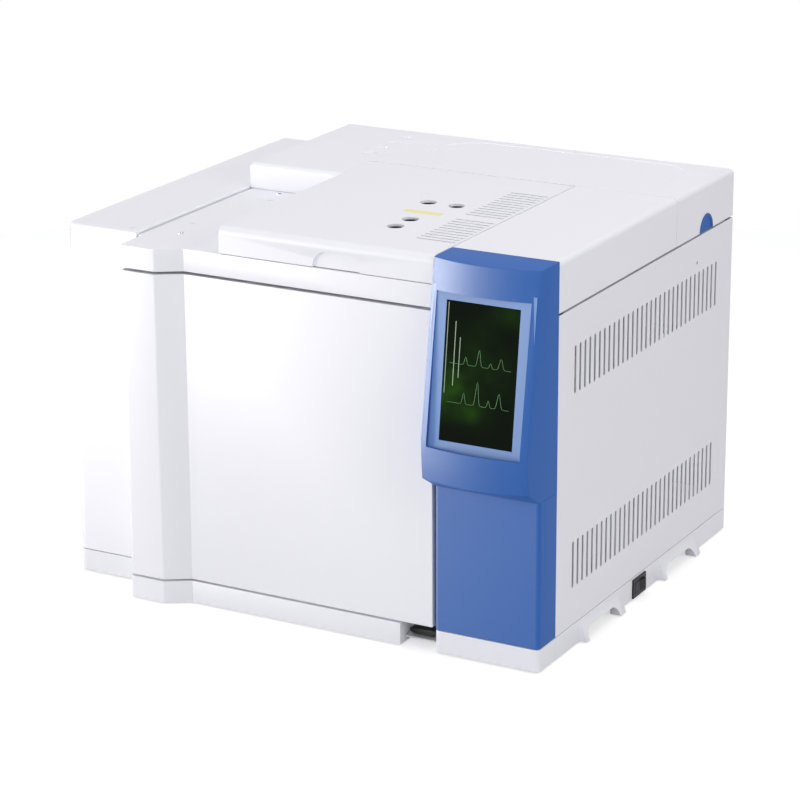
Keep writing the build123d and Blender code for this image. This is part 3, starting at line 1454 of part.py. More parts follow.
pad_plane = Plane(origin=((blue_left_x + side_x) / 2, pad_y, pad_z), x_dir=(1, 0, 0), z_dir=pad_normal)
with BuildPart() as display_housing:
    for lower, upper in zip(outer_levels[1:], outer_levels[:-1]):
        loft([lower, upper], ruled=True)
    for lower, upper in zip(inner_levels[1:], inner_levels[:-1]):
        loft([lower, upper], ruled=True, mode=Mode.SUBTRACT)
    with BuildSketch(pad_plane):
        Rectangle(right_bay_width - 1.5 * blue_wall, pad_height + 14.0)
    extrude(amount=-blue_wall)
    with BuildSketch(pad_plane):
        Rectangle(pad_width, pad_height)
    extrude(amount=30.0, mode=Mode.SUBTRACT)
    with BuildSketch(pad_plane.offset(1.0)):
        Rectangle(screen_width + 0.4, screen_height + 0.4)
    extrude(amount=-2.0 - blue_wall, mode=Mode.SUBTRACT)
save(display_housing, "display_housing")

glass_thickness = 1.2
glass_recess = 0.5
with BuildPart() as screen_glass:
    with BuildSketch(pad_plane.offset(-glass_recess)):
        RectangleRounded(screen_width, screen_height, 1.0)
    extrude(amount=-glass_thickness)
save(screen_glass, "screen_glass")

with BuildPart() as display_module:
    with BuildSketch(pad_plane.offset(-blue_wall)):
        Rectangle(screen_width + 8.0, screen_height + 8.0)
    extrude(amount=-7.0)
    with BuildSketch(pad_plane.offset(-blue_wall)):
        Rectangle(screen_width - 0.4, screen_height - 0.4)
    extrude(amount=blue_wall - glass_recess - glass_thickness)
save(display_module, "display_module")

column_top_z = head_bottom_z - seat_gap
with BuildPart() as lower_column_panel:
    block((blue_left_x, side_x), (door_plane_y, blue_back_y), (panel_bottom_z, column_top_z))
    fillet(lower_column_panel.edges().filter_by(Axis.Z).group_by(Axis.Y)[0], edge_corner)
    block(
        (blue_left_x + blue_wall, side_x - blue_wall),
        (door_plane_y + blue_wall, blue_back_y + 1),
        (panel_bottom_z - 1, column_top_z + 1),
        mode=Mode.SUBTRACT,
    )
    block(
        (blue_left_x + 1, side_x - 1),
        (door_plane_y + 1, blue_back_y),
        (panel_bottom_z + 1, panel_bottom_z + 1 + blue_wall),
    )
save(lower_column_panel, "lower_column_panel")

# ---- Power switch on the base's right side ----
rocker_tilt = 8.0
pivot_x = side_x - 5.0
rocker_half = 11.8
opening_y = (switch_y - 13.5, switch_y + 13.5)
opening_z = (switch_z - switch_height / 2 + 4.8, switch_z + switch_height / 2 - 4.8)
rocker_z = (opening_z[0] + 0.5, opening_z[1] - 0.5)
body_half_length = switch_length / 2 - switch_border - 0.2
body_half_height = switch_height / 2 - switch_border - 0.2
with BuildPart() as switch_bezel:
    block(
        (side_x, side_x + 2.0),
        (switch_y - switch_length / 2, switch_y + switch_length / 2),
        (switch_z - switch_height / 2, switch_z + switch_height / 2),
    )
    block(
        (side_x - switch_body, side_x + 1.0),
        (switch_y - body_half_length, switch_y + body_half_length),
        (switch_z - body_half_height, switch_z + body_half_height),
    )
    block((side_x - switch_body + 2.0, side_x + 3.0), opening_y, opening_z, mode=Mode.SUBTRACT)
    rod_z(pivot_x, switch_y, 1.5, (opening_z[0] - 1, opening_z[1] + 1))
save(switch_bezel, "switch_bezel")

rocker_angle = math.radians(-rocker_tilt)
with BuildPart() as power_rocker:
    with BuildSketch(
        Plane(
            origin=(pivot_x, switch_y, rocker_z[0]),
            x_dir=(math.cos(rocker_angle), math.sin(rocker_angle), 0),
            z_dir=(0, 0, 1),
        )
    ):
        with BuildLine():
            Polyline(
                (-3.5, -5.0),
                (5.0, -rocker_half),
                (9.0, -rocker_half),
                (7.6, 0),
                (9.0, rocker_half),
                (5.0, rocker_half),
                (-3.5, 5.0),
                close=True,
            )
        make_face()
        Circle(1.55, mode=Mode.SUBTRACT)
    extrude(amount=rocker_z[1] - rocker_z[0])
save(power_rocker, "power_rocker")


# ---- Screws ----
def screw(x, y, z, direction):
    """A pan head screw whose head sits on a face that looks along the direction."""
    seat = Plane(origin=(x, y, z), z_dir=direction)
    with Locations(seat.offset(0.9)):
        Cone(screw_head, screw_head - 0.4, 1.8)
    with Locations(seat.offset(0.5 - screw_length / 2)):
        Cylinder(screw_shank, screw_length)


with BuildPart() as cover_screws:
    screw(side_x, side_screw_y, side_screw_z, (1, 0, 0))
    screw(-side_x, side_screw_y, side_screw_z, (-1, 0, 0))
    for x, z in rear_screws:
        screw(x, rear_y, z, (0, 1, 0))
    for x, y in deck_screws:
        rod_z(x, y, screw_head - 0.4, (deck_z, deck_z + 1.0))
        rod_z(x, y, screw_shank, (deck_z - moulded, deck_z + 0.5))
save(cover_screws, "cover_screws")
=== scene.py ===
import json
import math

import bmesh
import bpy
from bpy.props import FloatProperty, FloatVectorProperty, IntProperty, PointerProperty
from mathutils import Matrix, Vector

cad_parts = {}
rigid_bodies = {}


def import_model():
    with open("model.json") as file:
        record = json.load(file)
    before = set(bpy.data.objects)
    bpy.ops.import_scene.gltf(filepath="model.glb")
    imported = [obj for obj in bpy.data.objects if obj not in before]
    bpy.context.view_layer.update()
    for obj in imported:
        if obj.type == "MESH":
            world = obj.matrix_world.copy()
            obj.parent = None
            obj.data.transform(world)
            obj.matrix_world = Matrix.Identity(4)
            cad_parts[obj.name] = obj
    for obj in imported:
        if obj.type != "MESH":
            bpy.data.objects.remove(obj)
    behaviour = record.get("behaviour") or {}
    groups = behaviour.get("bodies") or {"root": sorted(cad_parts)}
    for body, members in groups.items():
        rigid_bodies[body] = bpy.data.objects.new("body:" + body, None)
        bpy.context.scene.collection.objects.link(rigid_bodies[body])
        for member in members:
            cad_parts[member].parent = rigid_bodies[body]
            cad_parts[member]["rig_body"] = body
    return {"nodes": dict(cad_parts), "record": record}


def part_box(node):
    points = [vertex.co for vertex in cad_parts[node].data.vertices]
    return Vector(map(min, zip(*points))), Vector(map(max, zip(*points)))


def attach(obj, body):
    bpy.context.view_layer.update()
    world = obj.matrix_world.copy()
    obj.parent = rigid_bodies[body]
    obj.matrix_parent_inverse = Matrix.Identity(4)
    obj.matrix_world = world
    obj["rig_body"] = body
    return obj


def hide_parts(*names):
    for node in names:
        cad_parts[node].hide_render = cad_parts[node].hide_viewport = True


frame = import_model()

bl_info = {
    "name": "Gas Chromatograph Builder",
    "version": (1, 0, 0),
    "blender": (4, 5, 0),
    "location": "3D View > Sidebar > Chromatograph",
    "description": "Builds the looks of a benchtop gas chromatograph, piece by piece",
    "category": "Add Mesh",
}

MM = 0.001

# Rubber feet, in millimetres: where they stand, and their turned shape.
FOOT_PLACES = ((-270.0, -157.6), (270.0, -157.6), (-270.0, 230.0), (270.0, 230.0))
FOOT_HEIGHT = 6.0
FOOT_SOLE, FOOT_RIM, FOOT_GROOVE = 15.5, 16.9, 16.3
TREAD_START, TREAD_PITCH = 0.9, 1.6
TREAD_LAND, GROOVE_FROM, GROOVE_TO = 0.8, 1.1, 1.5

# The lid's yellow strip, in millimetres: its near left and far right corners.
STRIP_LOW, STRIP_HIGH = (62.0, -93.5, 0.0), (112.0, -81.0, 0.0)

# The door button's bar: how deep it is, and how tall in its middle and how much less at its ends.
BAR_DEPTH = 0.0186
BAR_MIDDLE, BAR_TAPER = 0.82, 0.22

# The capillary column: its layers of turns, its hoops, and the gaps that the tube keeps.
WINDING_LAYERS, TURN_STEPS = 3, 40
OUTER_GAP, LAYER_STEP, END_GAP = 0.0012, 0.0030, 0.002
HOOP_INSET, HOOP_RADIUS, HOOP_STEPS = 0.0088, 0.0010, 72

# The band of ridges round a septum nut.
RIDGE_RISE, RIDGE_SINK = 0.00025, 0.00010
BAND_FOOT, BAND_TOP_GAP = 0.35, 0.0012

# A screw head with its drive recess, as shares of its radius and of its height, from the axis outward.
HEAD_TALLEST = 0.0018
HEAD_PROFILE = (
    (0.0, -1.4),
    (0.0, -0.75),
    (0.34, -0.65),
    (0.40, 0.0),
    (0.78, -0.10),
    (1.08, -0.55),
    (1.12, -1.0),
    (0.55, -1.0),
    (0.55, -1.4),
)

# Rounding of the insulation's felt and of the door's seal.
FELT_EDGE, GASKET_EDGE = 0.0008, 0.0018

# Where the display housing's outer edges lie that get the wide rounding, and how near counts as there.
HOUSING_FRONT_Y, HOUSING_TOP_Y = -0.245, -0.215
CHIN_Z, CHIN_Y = 0.222, -0.275
AT_FACE, AT_CHIN = 0.0004, 0.0008

# The screen, from its left and its foot as 0 to 1: each patch of glow by its middle, reach and weight.
GLOW_PATCHES = (
    ((0.12, 0.38), (0.48, 0.30), 0.90),
    ((0.36, 0.24), (0.30, 0.13), 0.55),
    ((0.50, 0.52), (0.70, 0.55), 0.22),
    ((0.85, 0.94), (0.40, 0.16), 0.30),
)

# Lines on the screen, with its middle as 0: rules by place, foot and head, traces by foot and scale,
# and the peaks of a trace by place, height and breadth.
SCREEN_RULES = ((-0.47, -0.16, 0.49), (-0.36, -0.10, 0.36), (-0.29, -0.04, 0.25))
SCREEN_TRACES = ((-0.22, 1.0), (0.06, 0.7))
TRACE_PEAKS = ((-0.20, 0.08, 0.020), (-0.02, 0.17, 0.024), (0.14, 0.05, 0.018), (0.28, 0.11, 0.028))
TRACE_START, TRACE_SPAN, TRACE_STEPS = -0.42, 0.84, 120
RULE_RADIUS, TRACE_RADIUS, LINE_LIFT = 0.00040, 0.00022, 0.00005

# Studio lamps: name, place and width. Each has its power among the sizes.
LAMPS = (
    ("sheen", (-2.15, -1.35, 0.30), 1.4),
    ("key", (-3.20, -2.70, 0.70), 1.8),
    ("front", (0.45, -3.2, 1.25), 1.8),
    ("fill", (3.0, -0.7, 1.5), 1.8),
    ("top", (0.1, 0.3, 3.0), 2.2),
)
LAMP_TARGET = (0.0, 0.0, 0.2)

# The camera: where it stands, what lies to its right and ahead, and its long lens.
CAMERA_PLACE = (1.68399, -3.04627, 1.33452)
CAMERA_RIGHT = (0.8768014, 0.4808265, -0.0050296)
CAMERA_AHEAD = (-0.4586802, 0.8331860, -0.3088910)
CAMERA_LENS, CAMERA_SENSOR = 135.145, 36.0

# How near two corners count as one, which edges (in radians) get a wide rounding of how many steps,
# how level a face counts as facing, and how deep its surface is.
SAME_POINT = 1e-6
SHARP_ANGLE = 0.35
WIDE_SEGMENTS = 4
FACING = 0.999
SKIN_DEPTH = 0.0005


# ---- Sizes and colours a user would change ----
def colour(name, description, value):
    """A colour property with a picker."""
    return FloatVectorProperty(
        name=name, description=description, default=value, size=3, min=0.0, max=1.0, subtype="COLOR"
    )


def length(name, description, value):
    """A size property, in metres."""
    return FloatProperty(name=name, description=description, default=value, min=0.0, unit="LENGTH")


def power(name, description, value):
    """A lamp's power, in watts."""
    return FloatProperty(name=name, description=description, default=value, min=0.0, unit="POWER")


class ChromatographSizes(bpy.types.PropertyGroup):
    """Sizes of the finer detail."""

    panel_edge: length("Panel edge", "Rounding of the folded sheet panels", 0.0005)
    cover_edge: length("Cover edge", "Rounding of the moulded covers", 0.0009)
    housing_edge: length("Housing edge", "Rounding of the display housing's outer edges", 0.0045)
    metal_edge: length("Metal edge", "Rounding of the inner metalwork", 0.0003)
    winding_wire: length("Column tube", "Thickness of the capillary column's tube", 0.0011)
    windings: IntProperty(name="Windings", description="Turns in each layer of the column", default=22)
    nut_ridges: IntProperty(name="Nut ridges", description="Ridges round each septum nut", default=28, min=6)
    tread_rings: IntProperty(name="Foot rings", description="Rings turned into each rubber foot", default=3)
    sheen_power: power("Sheen lamp", "Power of the left lamp that shows only as a sheen", 680.0)
    key_power: power("Key lamp", "Power of the low lamp at the left", 39.0)
    front_power: power("Front lamp", "Power of the lamp in front", 26.0)
    fill_power: power("Fill lamp", "Power of the lamp at the right", 29.0)
    top_power: power("Top lamp", "Power of the lamp overhead", 29.0)
    room_light: FloatProperty(name="Room light", description="Light from all round", default=0.40, min=0.0)
    floor_glow: FloatProperty(name="Floor glow", description="Light of the floor", default=0.58, min=0.0)
    floor_radius: length("Floor radius", "Radius of the round floor", 1.7)


class ChromatographColours(bpy.types.PropertyGroup):
    """Colours of the pieces."""

    cover: colour("Covers", "White moulded covers", (0.868, 0.862, 0.905))
    panel: colour("Panels", "White painted panels", (0.850, 0.840, 0.885))
    housing: colour("Display column", "Blue display housing and column", (0.031, 0.124, 0.420))
    pad: colour("Screen surround", "Flat surround of the screen", (0.160, 0.290, 0.590))
    glow: colour("Screen glow", "Light of the screen", (0.16, 0.62, 0.03))
    dark: colour("Dark plastic", "Switch, inlet and fans", (0.010, 0.010, 0.011))
    lever: colour("Button surround", "Surround of the door button", (0.60, 0.61, 0.64))
    strip: colour("Lid strip", "Plain strip beside the needle holes", (0.86, 0.80, 0.38))


def sizes():
    """The sizes in the scene."""
    return bpy.context.scene.chromatograph_sizes


def colours():
    """The colours in the scene."""
    return bpy.context.scene.chromatograph_colours


# ---- Materials ----
FINISHES = {}


def blank(name):
    """A new material, with its nodes, its links and its shader."""
    made = bpy.data.materials.new(name)
    made.use_nodes = True
    nodes = made.node_tree.nodes
    return made, nodes, made.node_tree.links, nodes["Principled BSDF"]


def surface(
    name,
    tint,
    rough,
    metal=0.0,
    grain=700.0,
    bump=0.04,
    vary=0.03,
    wear=0.05,
    coat=0.0,
    brushed=None,
    shine=0.5,
):
    """A procedural finish: broad tint changes, fine grain, uneven gloss and slightly worn edges."""
    if name in FINISHES:
        return FINISHES[name]
    made, nodes, links, shader = blank(name + "_finish")
    FINISHES[name] = made
    shader.inputs["Metallic"].default_value = metal
    shader.inputs["Coat Weight"].default_value = coat
    shader.inputs["Coat Roughness"].default_value = 0.12
    shader.inputs["Specular IOR Level"].default_value = shine
    place = nodes.new("ShaderNodeTexCoord")
    stretch = nodes.new("ShaderNodeMapping")
    stretch.inputs["Scale"].default_value = brushed or (1.0, 1.0, 1.0)
    links.new(place.outputs["Object"], stretch.inputs["Vector"])
    broad = nodes.new("ShaderNodeTexNoise")
    broad.inputs["Scale"].default_value = 7.0
    broad.inputs["Detail"].default_value = 3.0
    links.new(place.outputs["Object"], broad.inputs["Vector"])
    fine = nodes.new("ShaderNodeTexNoise")
    fine.inputs["Scale"].default_value = grain
    fine.inputs["Detail"].default_value = 2.0
    links.new(stretch.outputs["Vector"], fine.inputs["Vector"])
    shade = nodes.new("ShaderNodeMix")
    shade.data_type = "RGBA"
    shade.inputs["A"].default_value = [c * (1.0 - vary) for c in tint] + [1.0]
    shade.inputs["B"].default_value = [min(1.0, c * (1.0 + vary)) for c in tint] + [1.0]
    links.new(broad.outputs["Fac"], shade.inputs["Factor"])
    shape = nodes.new("ShaderNodeNewGeometry")
    edges = nodes.new("ShaderNodeMapRange")
    edges.inputs["From Min"].default_value = 0.53
    edges.inputs["From Max"].default_value = 0.62
    edges.inputs["To Max"].default_value = wear
    links.new(shape.outputs["Pointiness"], edges.inputs["Value"])
    worn = nodes.new("ShaderNodeMix")
    worn.data_type = "RGBA"
    worn.inputs["B"].default_value = [min(1.0, c * 0.6 + 0.35) for c in tint] + [1.0]
    links.new(edges.outputs["Result"], worn.inputs["Factor"])
    links.new(shade.outputs["Result"], worn.inputs["A"])
    links.new(worn.outputs["Result"], shader.inputs["Base Color"])
    gloss = nodes.new("ShaderNodeMapRange")
    gloss.inputs["To Min"].default_value = max(0.02, rough * 0.85)
    gloss.inputs["To Max"].default_value = min(1.0, rough * 1.15)
    links.new(fine.outputs["Fac"], gloss.inputs["Value"])
    links.new(gloss.outputs["Result"], shader.inputs["Roughness"])
    relief = nodes.new("ShaderNodeBump")
    relief.inputs["Strength"].default_value = bump
    relief.inputs["Distance"].default_value = 0.0002
    links.new(fine.outputs["Fac"], relief.inputs["Height"])
    links.new(relief.outputs["Normal"], shader.inputs["Normal"])
    return made


# How each finish is made. A tint given as a word is one of the colours that a user sets.
RECIPES = {
    "white_panel": dict(tint="panel", rough=0.46, grain=900.0, bump=0.05, vary=0.012, wear=0.03, shine=0.3),
    "white_plastic": dict(tint="cover", rough=0.42, grain=650.0, bump=0.04, vary=0.012, wear=0.03, shine=0.2),
    "blue_plastic": dict(tint="housing", rough=0.58, grain=800.0, bump=0.03, vary=0.03, shine=0.2),
    "blue_pad": dict(tint="pad", rough=0.55, grain=800.0, bump=0.03, vary=0.03, shine=0.2),
    "grey_plastic": dict(tint="lever", rough=0.45),
    "black_plastic": dict(tint="dark", rough=0.42, bump=0.08, vary=0.1, wear=0.02, shine=0.2),
    "yellow_strip": dict(tint="strip", rough=0.5, vary=0.03, shine=0.3),
    "rubber": dict(tint=(0.03, 0.03, 0.032), rough=0.75, bump=0.2, vary=0.1),
    "galvanised_steel": dict(
        tint=(0.30, 0.31, 0.33), rough=0.46, metal=0.8, grain=120.0, bump=0.06, vary=0.10, wear=0.15
    ),
    "stainless_steel": dict(
        tint=(0.62, 0.61, 0.59), rough=0.30, metal=1.0, grain=60.0, bump=0.08, brushed=(40.0, 1.0, 1.0)
    ),
    "insulation": dict(tint=(0.80, 0.77, 0.68), rough=0.95, grain=260.0, bump=0.6, vary=0.08),
    "gasket": dict(tint=(0.70, 0.69, 0.64), rough=0.9, grain=500.0, bump=0.5, vary=0.08),
    "brass": dict(tint=(0.70, 0.50, 0.20), rough=0.28, metal=1.0, vary=0.05, wear=0.2),
    "aluminium": dict(tint=(0.68, 0.69, 0.71), rough=0.34, metal=1.0, grain=300.0, vary=0.05, wear=0.2),
    "board": dict(tint=(0.02, 0.17, 0.07), rough=0.4, grain=150.0, bump=0.15, vary=0.15, coat=0.3),
    "column": dict(tint=(0.26, 0.11, 0.03), rough=0.25, grain=400.0, vary=0.12, coat=0.4),
    "bolt_steel": dict(tint=(0.34, 0.34, 0.36), rough=0.32, metal=1.0, vary=0.05, wear=0.1),
}


def finish(name):
    """The finish of one name: a slot of the record, or a finish of its own such as the strip's."""
    recipe = dict(RECIPES[name])
    if isinstance(recipe["tint"], str):
        recipe["tint"] = getattr(colours(), recipe["tint"])
    return surface(name, **recipe)


def node_at(nodes, kind, operation=None, **values):
    """A shader node of one kind, with some of its inputs set."""
    made = nodes.new(kind)
    if operation:
        made.operation = operation
    for socket, value in values.items():
        made.inputs[int(socket[1:])].default_value = value
    return made


def glow_spot(nodes, links, across, up, middle, reach):
    """A soft round patch of light on the screen: 1 in its middle, 0 from its reach outward."""
    scaled = []
    for socket, centre, spread in zip((across, up), middle, reach):
        shifted = node_at(nodes, "ShaderNodeMath", "SUBTRACT", i1=centre)
        links.new(socket, shifted.inputs[0])
        divided = node_at(nodes, "ShaderNodeMath", "DIVIDE", i1=spread)
        links.new(shifted.outputs[0], divided.inputs[0])
        scaled.append(divided.outputs[0])
    both = nodes.new("ShaderNodeCombineXYZ")
    links.new(scaled[0], both.inputs[0])
    links.new(scaled[1], both.inputs[1])
    distance = node_at(nodes, "ShaderNodeVectorMath", "LENGTH")
    links.new(both.outputs[0], distance.inputs[0])
    fade = node_at(nodes, "ShaderNodeMapRange", i1=1.0, i2=0.0, i3=0.0, i4=1.0)
    fade.interpolation_type = "SMOOTHSTEP"
    links.new(distance.outputs["Value"], fade.inputs[0])
    return fade.outputs[0]


def screen_finish(low, high):
    """Dark glass with a soft green glow, strongest at its left; it carries no words."""
    made, nodes, links, shader = blank("screen_finish")
    shader.inputs["Base Color"].default_value = (0.002, 0.004, 0.002, 1.0)
    shader.inputs["Specular IOR Level"].default_value = 0.05
    place = nodes.new("ShaderNodeTexCoord")
    parts = nodes.new("ShaderNodeSeparateXYZ")
    links.new(place.outputs["Object"], parts.inputs["Vector"])
    across = node_at(nodes, "ShaderNodeMapRange", i1=low.x, i2=high.x)
    links.new(parts.outputs["X"], across.inputs[0])
    up = node_at(nodes, "ShaderNodeMapRange", i1=low.z, i2=high.z)
    links.new(parts.outputs["Z"], up.inputs[0])
    total = None
    for middle, reach, weight in GLOW_PATCHES:
        spot = glow_spot(nodes, links, across.outputs[0], up.outputs[0], middle, reach)
        added = node_at(nodes, "ShaderNodeMath", "MULTIPLY_ADD", i1=weight, i2=0.0)
        links.new(spot, added.inputs[0])
        if total:
            links.new(total, added.inputs[2])
        total = added.outputs[0]
    mottle = nodes.new("ShaderNodeTexNoise")
    mottle.inputs["Scale"].default_value = 30.0
    mottle.inputs["Detail"].default_value = 2.0
    links.new(place.outputs["Object"], mottle.inputs["Vector"])
    patch = node_at(nodes, "ShaderNodeMapRange", i1=0.25, i2=0.75)
    links.new(mottle.outputs["Fac"], patch.inputs[0])
    mixed = node_at(nodes, "ShaderNodeMath", "MULTIPLY")
    links.new(total, mixed.inputs[0])
    links.new(patch.outputs[0], mixed.inputs[1])
    level = node_at(nodes, "ShaderNodeMath", "MULTIPLY_ADD", i1=0.12, i2=0.003)
    links.new(mixed.outputs[0], level.inputs[0])
    shader.inputs["Emission Color"].default_value = [*colours().glow, 1.0]
    links.new(level.outputs[0], shader.inputs["Emission Strength"])
    gloss = node_at(nodes, "ShaderNodeMapRange", i3=0.10, i4=0.16)
    links.new(mottle.outputs["Fac"], gloss.inputs[0])
    links.new(gloss.outputs[0], shader.inputs["Roughness"])
    return made


def lit_finish(name, tint, strength):
    """A line drawn in light on the screen, a little uneven along its length."""
    made, nodes, links, shader = blank(name + "_finish")
    shader.inputs["Base Color"].default_value = (0.01, 0.02, 0.01, 1.0)
    shader.inputs["Specular IOR Level"].default_value = 0.1
    shader.inputs["Emission Color"].default_value = [*tint, 1.0]
    place = nodes.new("ShaderNodeTexCoord")
    uneven = nodes.new("ShaderNodeTexNoise")
    uneven.inputs["Scale"].default_value = 160.0
    links.new(place.outputs["Object"], uneven.inputs["Vector"])
    level = node_at(nodes, "ShaderNodeMapRange", i3=0.7 * strength, i4=1.3 * strength)
    links.new(uneven.outputs["Fac"], level.inputs[0])
    links.new(level.outputs[0], shader.inputs["Emission Strength"])
    return made


# ---- Mesh helpers ----
def mesh_from(shape, name):
    """Turn a worked shape into a mesh, and let the shape go."""
    mesh = bpy.data.meshes.new(name)
    shape.to_mesh(mesh)
    shape.free()
    return mesh


def put(name, mesh, body, slot, material=None, stands_for=(), angle=30.0):
    """Give a mesh its finish and name, and let it ride on a body."""
    made = bpy.data.objects.new(name, mesh)
    bpy.context.scene.collection.objects.link(made)
    mesh.materials.clear()
    mesh.materials.append(material or finish(slot))
    for face in mesh.polygons:
        face.use_smooth = True
    mesh.set_sharp_from_angle(angle=math.radians(angle))
    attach(made, body)
    if stands_for:
        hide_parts(*stands_for)
    return made


def soften(made, width, segments):
    """Round every sharp edge of a piece a little."""
    rounder = made.modifiers.new("soft edges", "BEVEL")
    rounder.width = width
    rounder.segments = segments
    rounder.limit_method = "ANGLE"
    rounder.angle_limit = math.radians(28.0)
    rounder.harden_normals = True
    rounder.use_clamp_overlap = True


def flat_faced(node):
    """A CAD node's shape with its flat faces made whole again, so that its edges can be worked."""
    shape = bmesh.new()
    shape.from_mesh(frame["nodes"][node].data)
    bmesh.ops.remove_doubles(shape, verts=shape.verts, dist=SAME_POINT)
    bmesh.ops.dissolve_limit(
        shape,
        angle_limit=math.radians(0.6),
        verts=shape.verts,
        edges=shape.edges,
        use_dissolve_boundaries=False,
    )
    return shape


def skin(node, width, material=None, big=None, big_width=0.0, segments=2):
    """A soft-edged piece that stands for one CAD node. big picks the edges that get a wider rounding."""
    record_slot = next(s["material_slot"] for s in frame["record"]["subparts"] if s["node"] == node)
    shape = flat_faced(node)
    if big:
        sharp = [e for e in shape.edges if len(e.link_faces) == 2 and e.calc_face_angle(0) > SHARP_ANGLE]
        chosen = [e for e in sharp if big(e)]
        bmesh.ops.bevel(
            shape,
            geom=chosen,
            offset=big_width,
            offset_type="OFFSET",
            segments=WIDE_SEGMENTS,
            profile=0.5,
            affect="EDGES",
            clamp_overlap=True,
        )
    riding = frame["nodes"][node]["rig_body"]
    mesh = mesh_from(shape, node + "_skin")
    made = put(node + "_skin", mesh, riding, record_slot, material, stands_for=(node,))
    if width > 0:
        soften(made, width, segments)
    return made


def lathe(name, profile, body, slot, place=(0, 0, 0), axis="Z", steps=48, stands_for=()):
    """A turned piece: profile is a list of (radius, height) pairs, closed on itself."""
    shape = bmesh.new()
    rings = []
    for step in range(steps):
        turn = 2 * math.pi * step / steps
        rings.append([shape.verts.new((r * math.cos(turn), r * math.sin(turn), h)) for r, h in profile])
    count = len(profile)
    for step in range(steps):
        one, two = rings[step], rings[(step + 1) % steps]
        for k in range(count):
            shape.faces.new((one[k], two[k], two[(k + 1) % count], one[(k + 1) % count]))
    bmesh.ops.remove_doubles(shape, verts=shape.verts, dist=1e-7)
    bmesh.ops.recalc_face_normals(shape, faces=shape.faces)
    turned = {
        "X": Matrix.Rotation(math.pi / 2, 4, "Y"),
        "Y": Matrix.Rotation(-math.pi / 2, 4, "X"),
        "Z": Matrix.Identity(4),
    }
    bmesh.ops.transform(shape, matrix=Matrix.Translation(place) @ turned[axis], verts=shape.verts)
    return put(name, mesh_from(shape, name), body, slot, stands_for=stands_for)


def wire(name, points, radius, body, slot, cyclic=False, resolution=4, stands_for=(), material=None):
    """A round wire or tube through the points."""
    line = bpy.data.curves.new(name, "CURVE")
    line.dimensions = "3D"
    line.bevel_depth = radius
    line.bevel_resolution = resolution
    line.use_fill_caps = not cyclic
    path = line.splines.new("POLY")
    path.points.add(len(points) - 1)
    for spot, point in zip(path.points, points):
        spot.co = (*point, 1.0)
    path.use_cyclic_u = cyclic
    holder = bpy.data.objects.new(name + "_line", line)
    bpy.context.scene.collection.objects.link(holder)
    bpy.context.view_layer.update()
    mesh = bpy.data.meshes.new_from_object(holder.evaluated_get(bpy.context.evaluated_depsgraph_get()))
    bpy.data.objects.remove(holder)
    bpy.data.curves.remove(line)
    mesh.name = name
    return put(name, mesh, body, slot, material, stands_for=stands_for)


def islands(node):
    """The loose solids of a CAD node, each as a list of its corner points."""
    shape = bmesh.new()
    shape.from_mesh(frame["nodes"][node].data)
    bmesh.ops.remove_doubles(shape, verts=shape.verts, dist=SAME_POINT)
    left = set(shape.verts)
    found = []
    while left:
        grown, edge = [], [left.pop()]
        while edge:
            vert = edge.pop()
            grown.append(vert.co.copy())
            for link in vert.link_edges:
                other = link.other_vert(vert)
                if other in left:
                    left.discard(other)
                    edge.append(other)
        found.append(grown)
    shape.free()
    return sorted(found, key=lambda points: tuple(round(corner, 4) for corner in box_of(points)[0]))


def box_of(points):
    """The low and high corners of a list of points."""
    low = Vector([min(p[axis] for p in points) for axis in range(3)])
    high = Vector([max(p[axis] for p in points) for axis in range(3)])
    return low, high


# ---- Pieces ----
class BuildBase(bpy.types.Operator):
    """Build the base tray with its hand grips, the corner cap and the rubber feet"""

    bl_idname = "chromatograph.build_base"
    bl_label = "Base"

    def execute(self, context):
        skin("base_tray", sizes().cover_edge, segments=3)
        skin("base_corner_cap", sizes().cover_edge, segments=3)
        for number, (x, y) in enumerate(FOOT_PLACES):
            profile = [(0.0, 0.0), (FOOT_SOLE, 0.0)]
            for ring in range(sizes().tread_rings):
                z = TREAD_START + ring * TREAD_PITCH
                profile += [(FOOT_RIM, z), (FOOT_RIM, z + TREAD_LAND)]
                profile += [(FOOT_GROOVE, z + GROOVE_FROM), (FOOT_GROOVE, z + GROOVE_TO)]
            profile += [(FOOT_RIM, FOOT_HEIGHT), (0.0, FOOT_HEIGHT)]
            lathe(
                f"rubber_foot_{number + 1}",
                [(r * MM, h * MM) for r, h in profile],
                "cabinet",
                "rubber",
                place=(x * MM, y * MM, 0.0),
                stands_for=("rubber_feet",),
            )
        return {"FINISHED"}


class BuildChassis(bpy.types.Operator):
    """Build the floor, the inner walls, the deck plate and the rear panel"""

    bl_idname = "chromatograph.build_chassis"
    bl_label = "Chassis"

    def execute(self, context):
        for node in ("floor_plate", "chassis_front", "left_bulkhead", "right_bulkhead", "deck_plate"):
            skin(node, sizes().metal_edge)
        skin("rear_panel", sizes().panel_edge)
        return {"FINISHED"}


class BuildCovers(bpy.types.Operator):
    """Build the side panels, the deck cover, the top covers and the pull"""

    bl_idname = "chromatograph.build_covers"
    bl_label = "Covers"

    def execute(self, context):
        skin("left_side_shell", sizes().panel_edge)
        skin("right_side_panel", sizes().panel_edge)
        for node in ("deck_cover", "left_top_cap", "right_top_cover", "back_cover"):
            skin(node, sizes().cover_edge, segments=3)
        skin("cover_pull", sizes().cover_edge * 0.5)
        return {"FINISHED"}


class BuildLid(bpy.types.Operator):
    """Build the slotted lid and its hinges"""

    bl_idname = "chromatograph.build_lid"
    bl_label = "Lid"

    def execute(self, context):
        lid = skin("lid", sizes().cover_edge * 0.6, segments=3)
        mark_strip(lid)
        skin("lid_hinges", sizes().metal_edge)
        return {"FINISHED"}


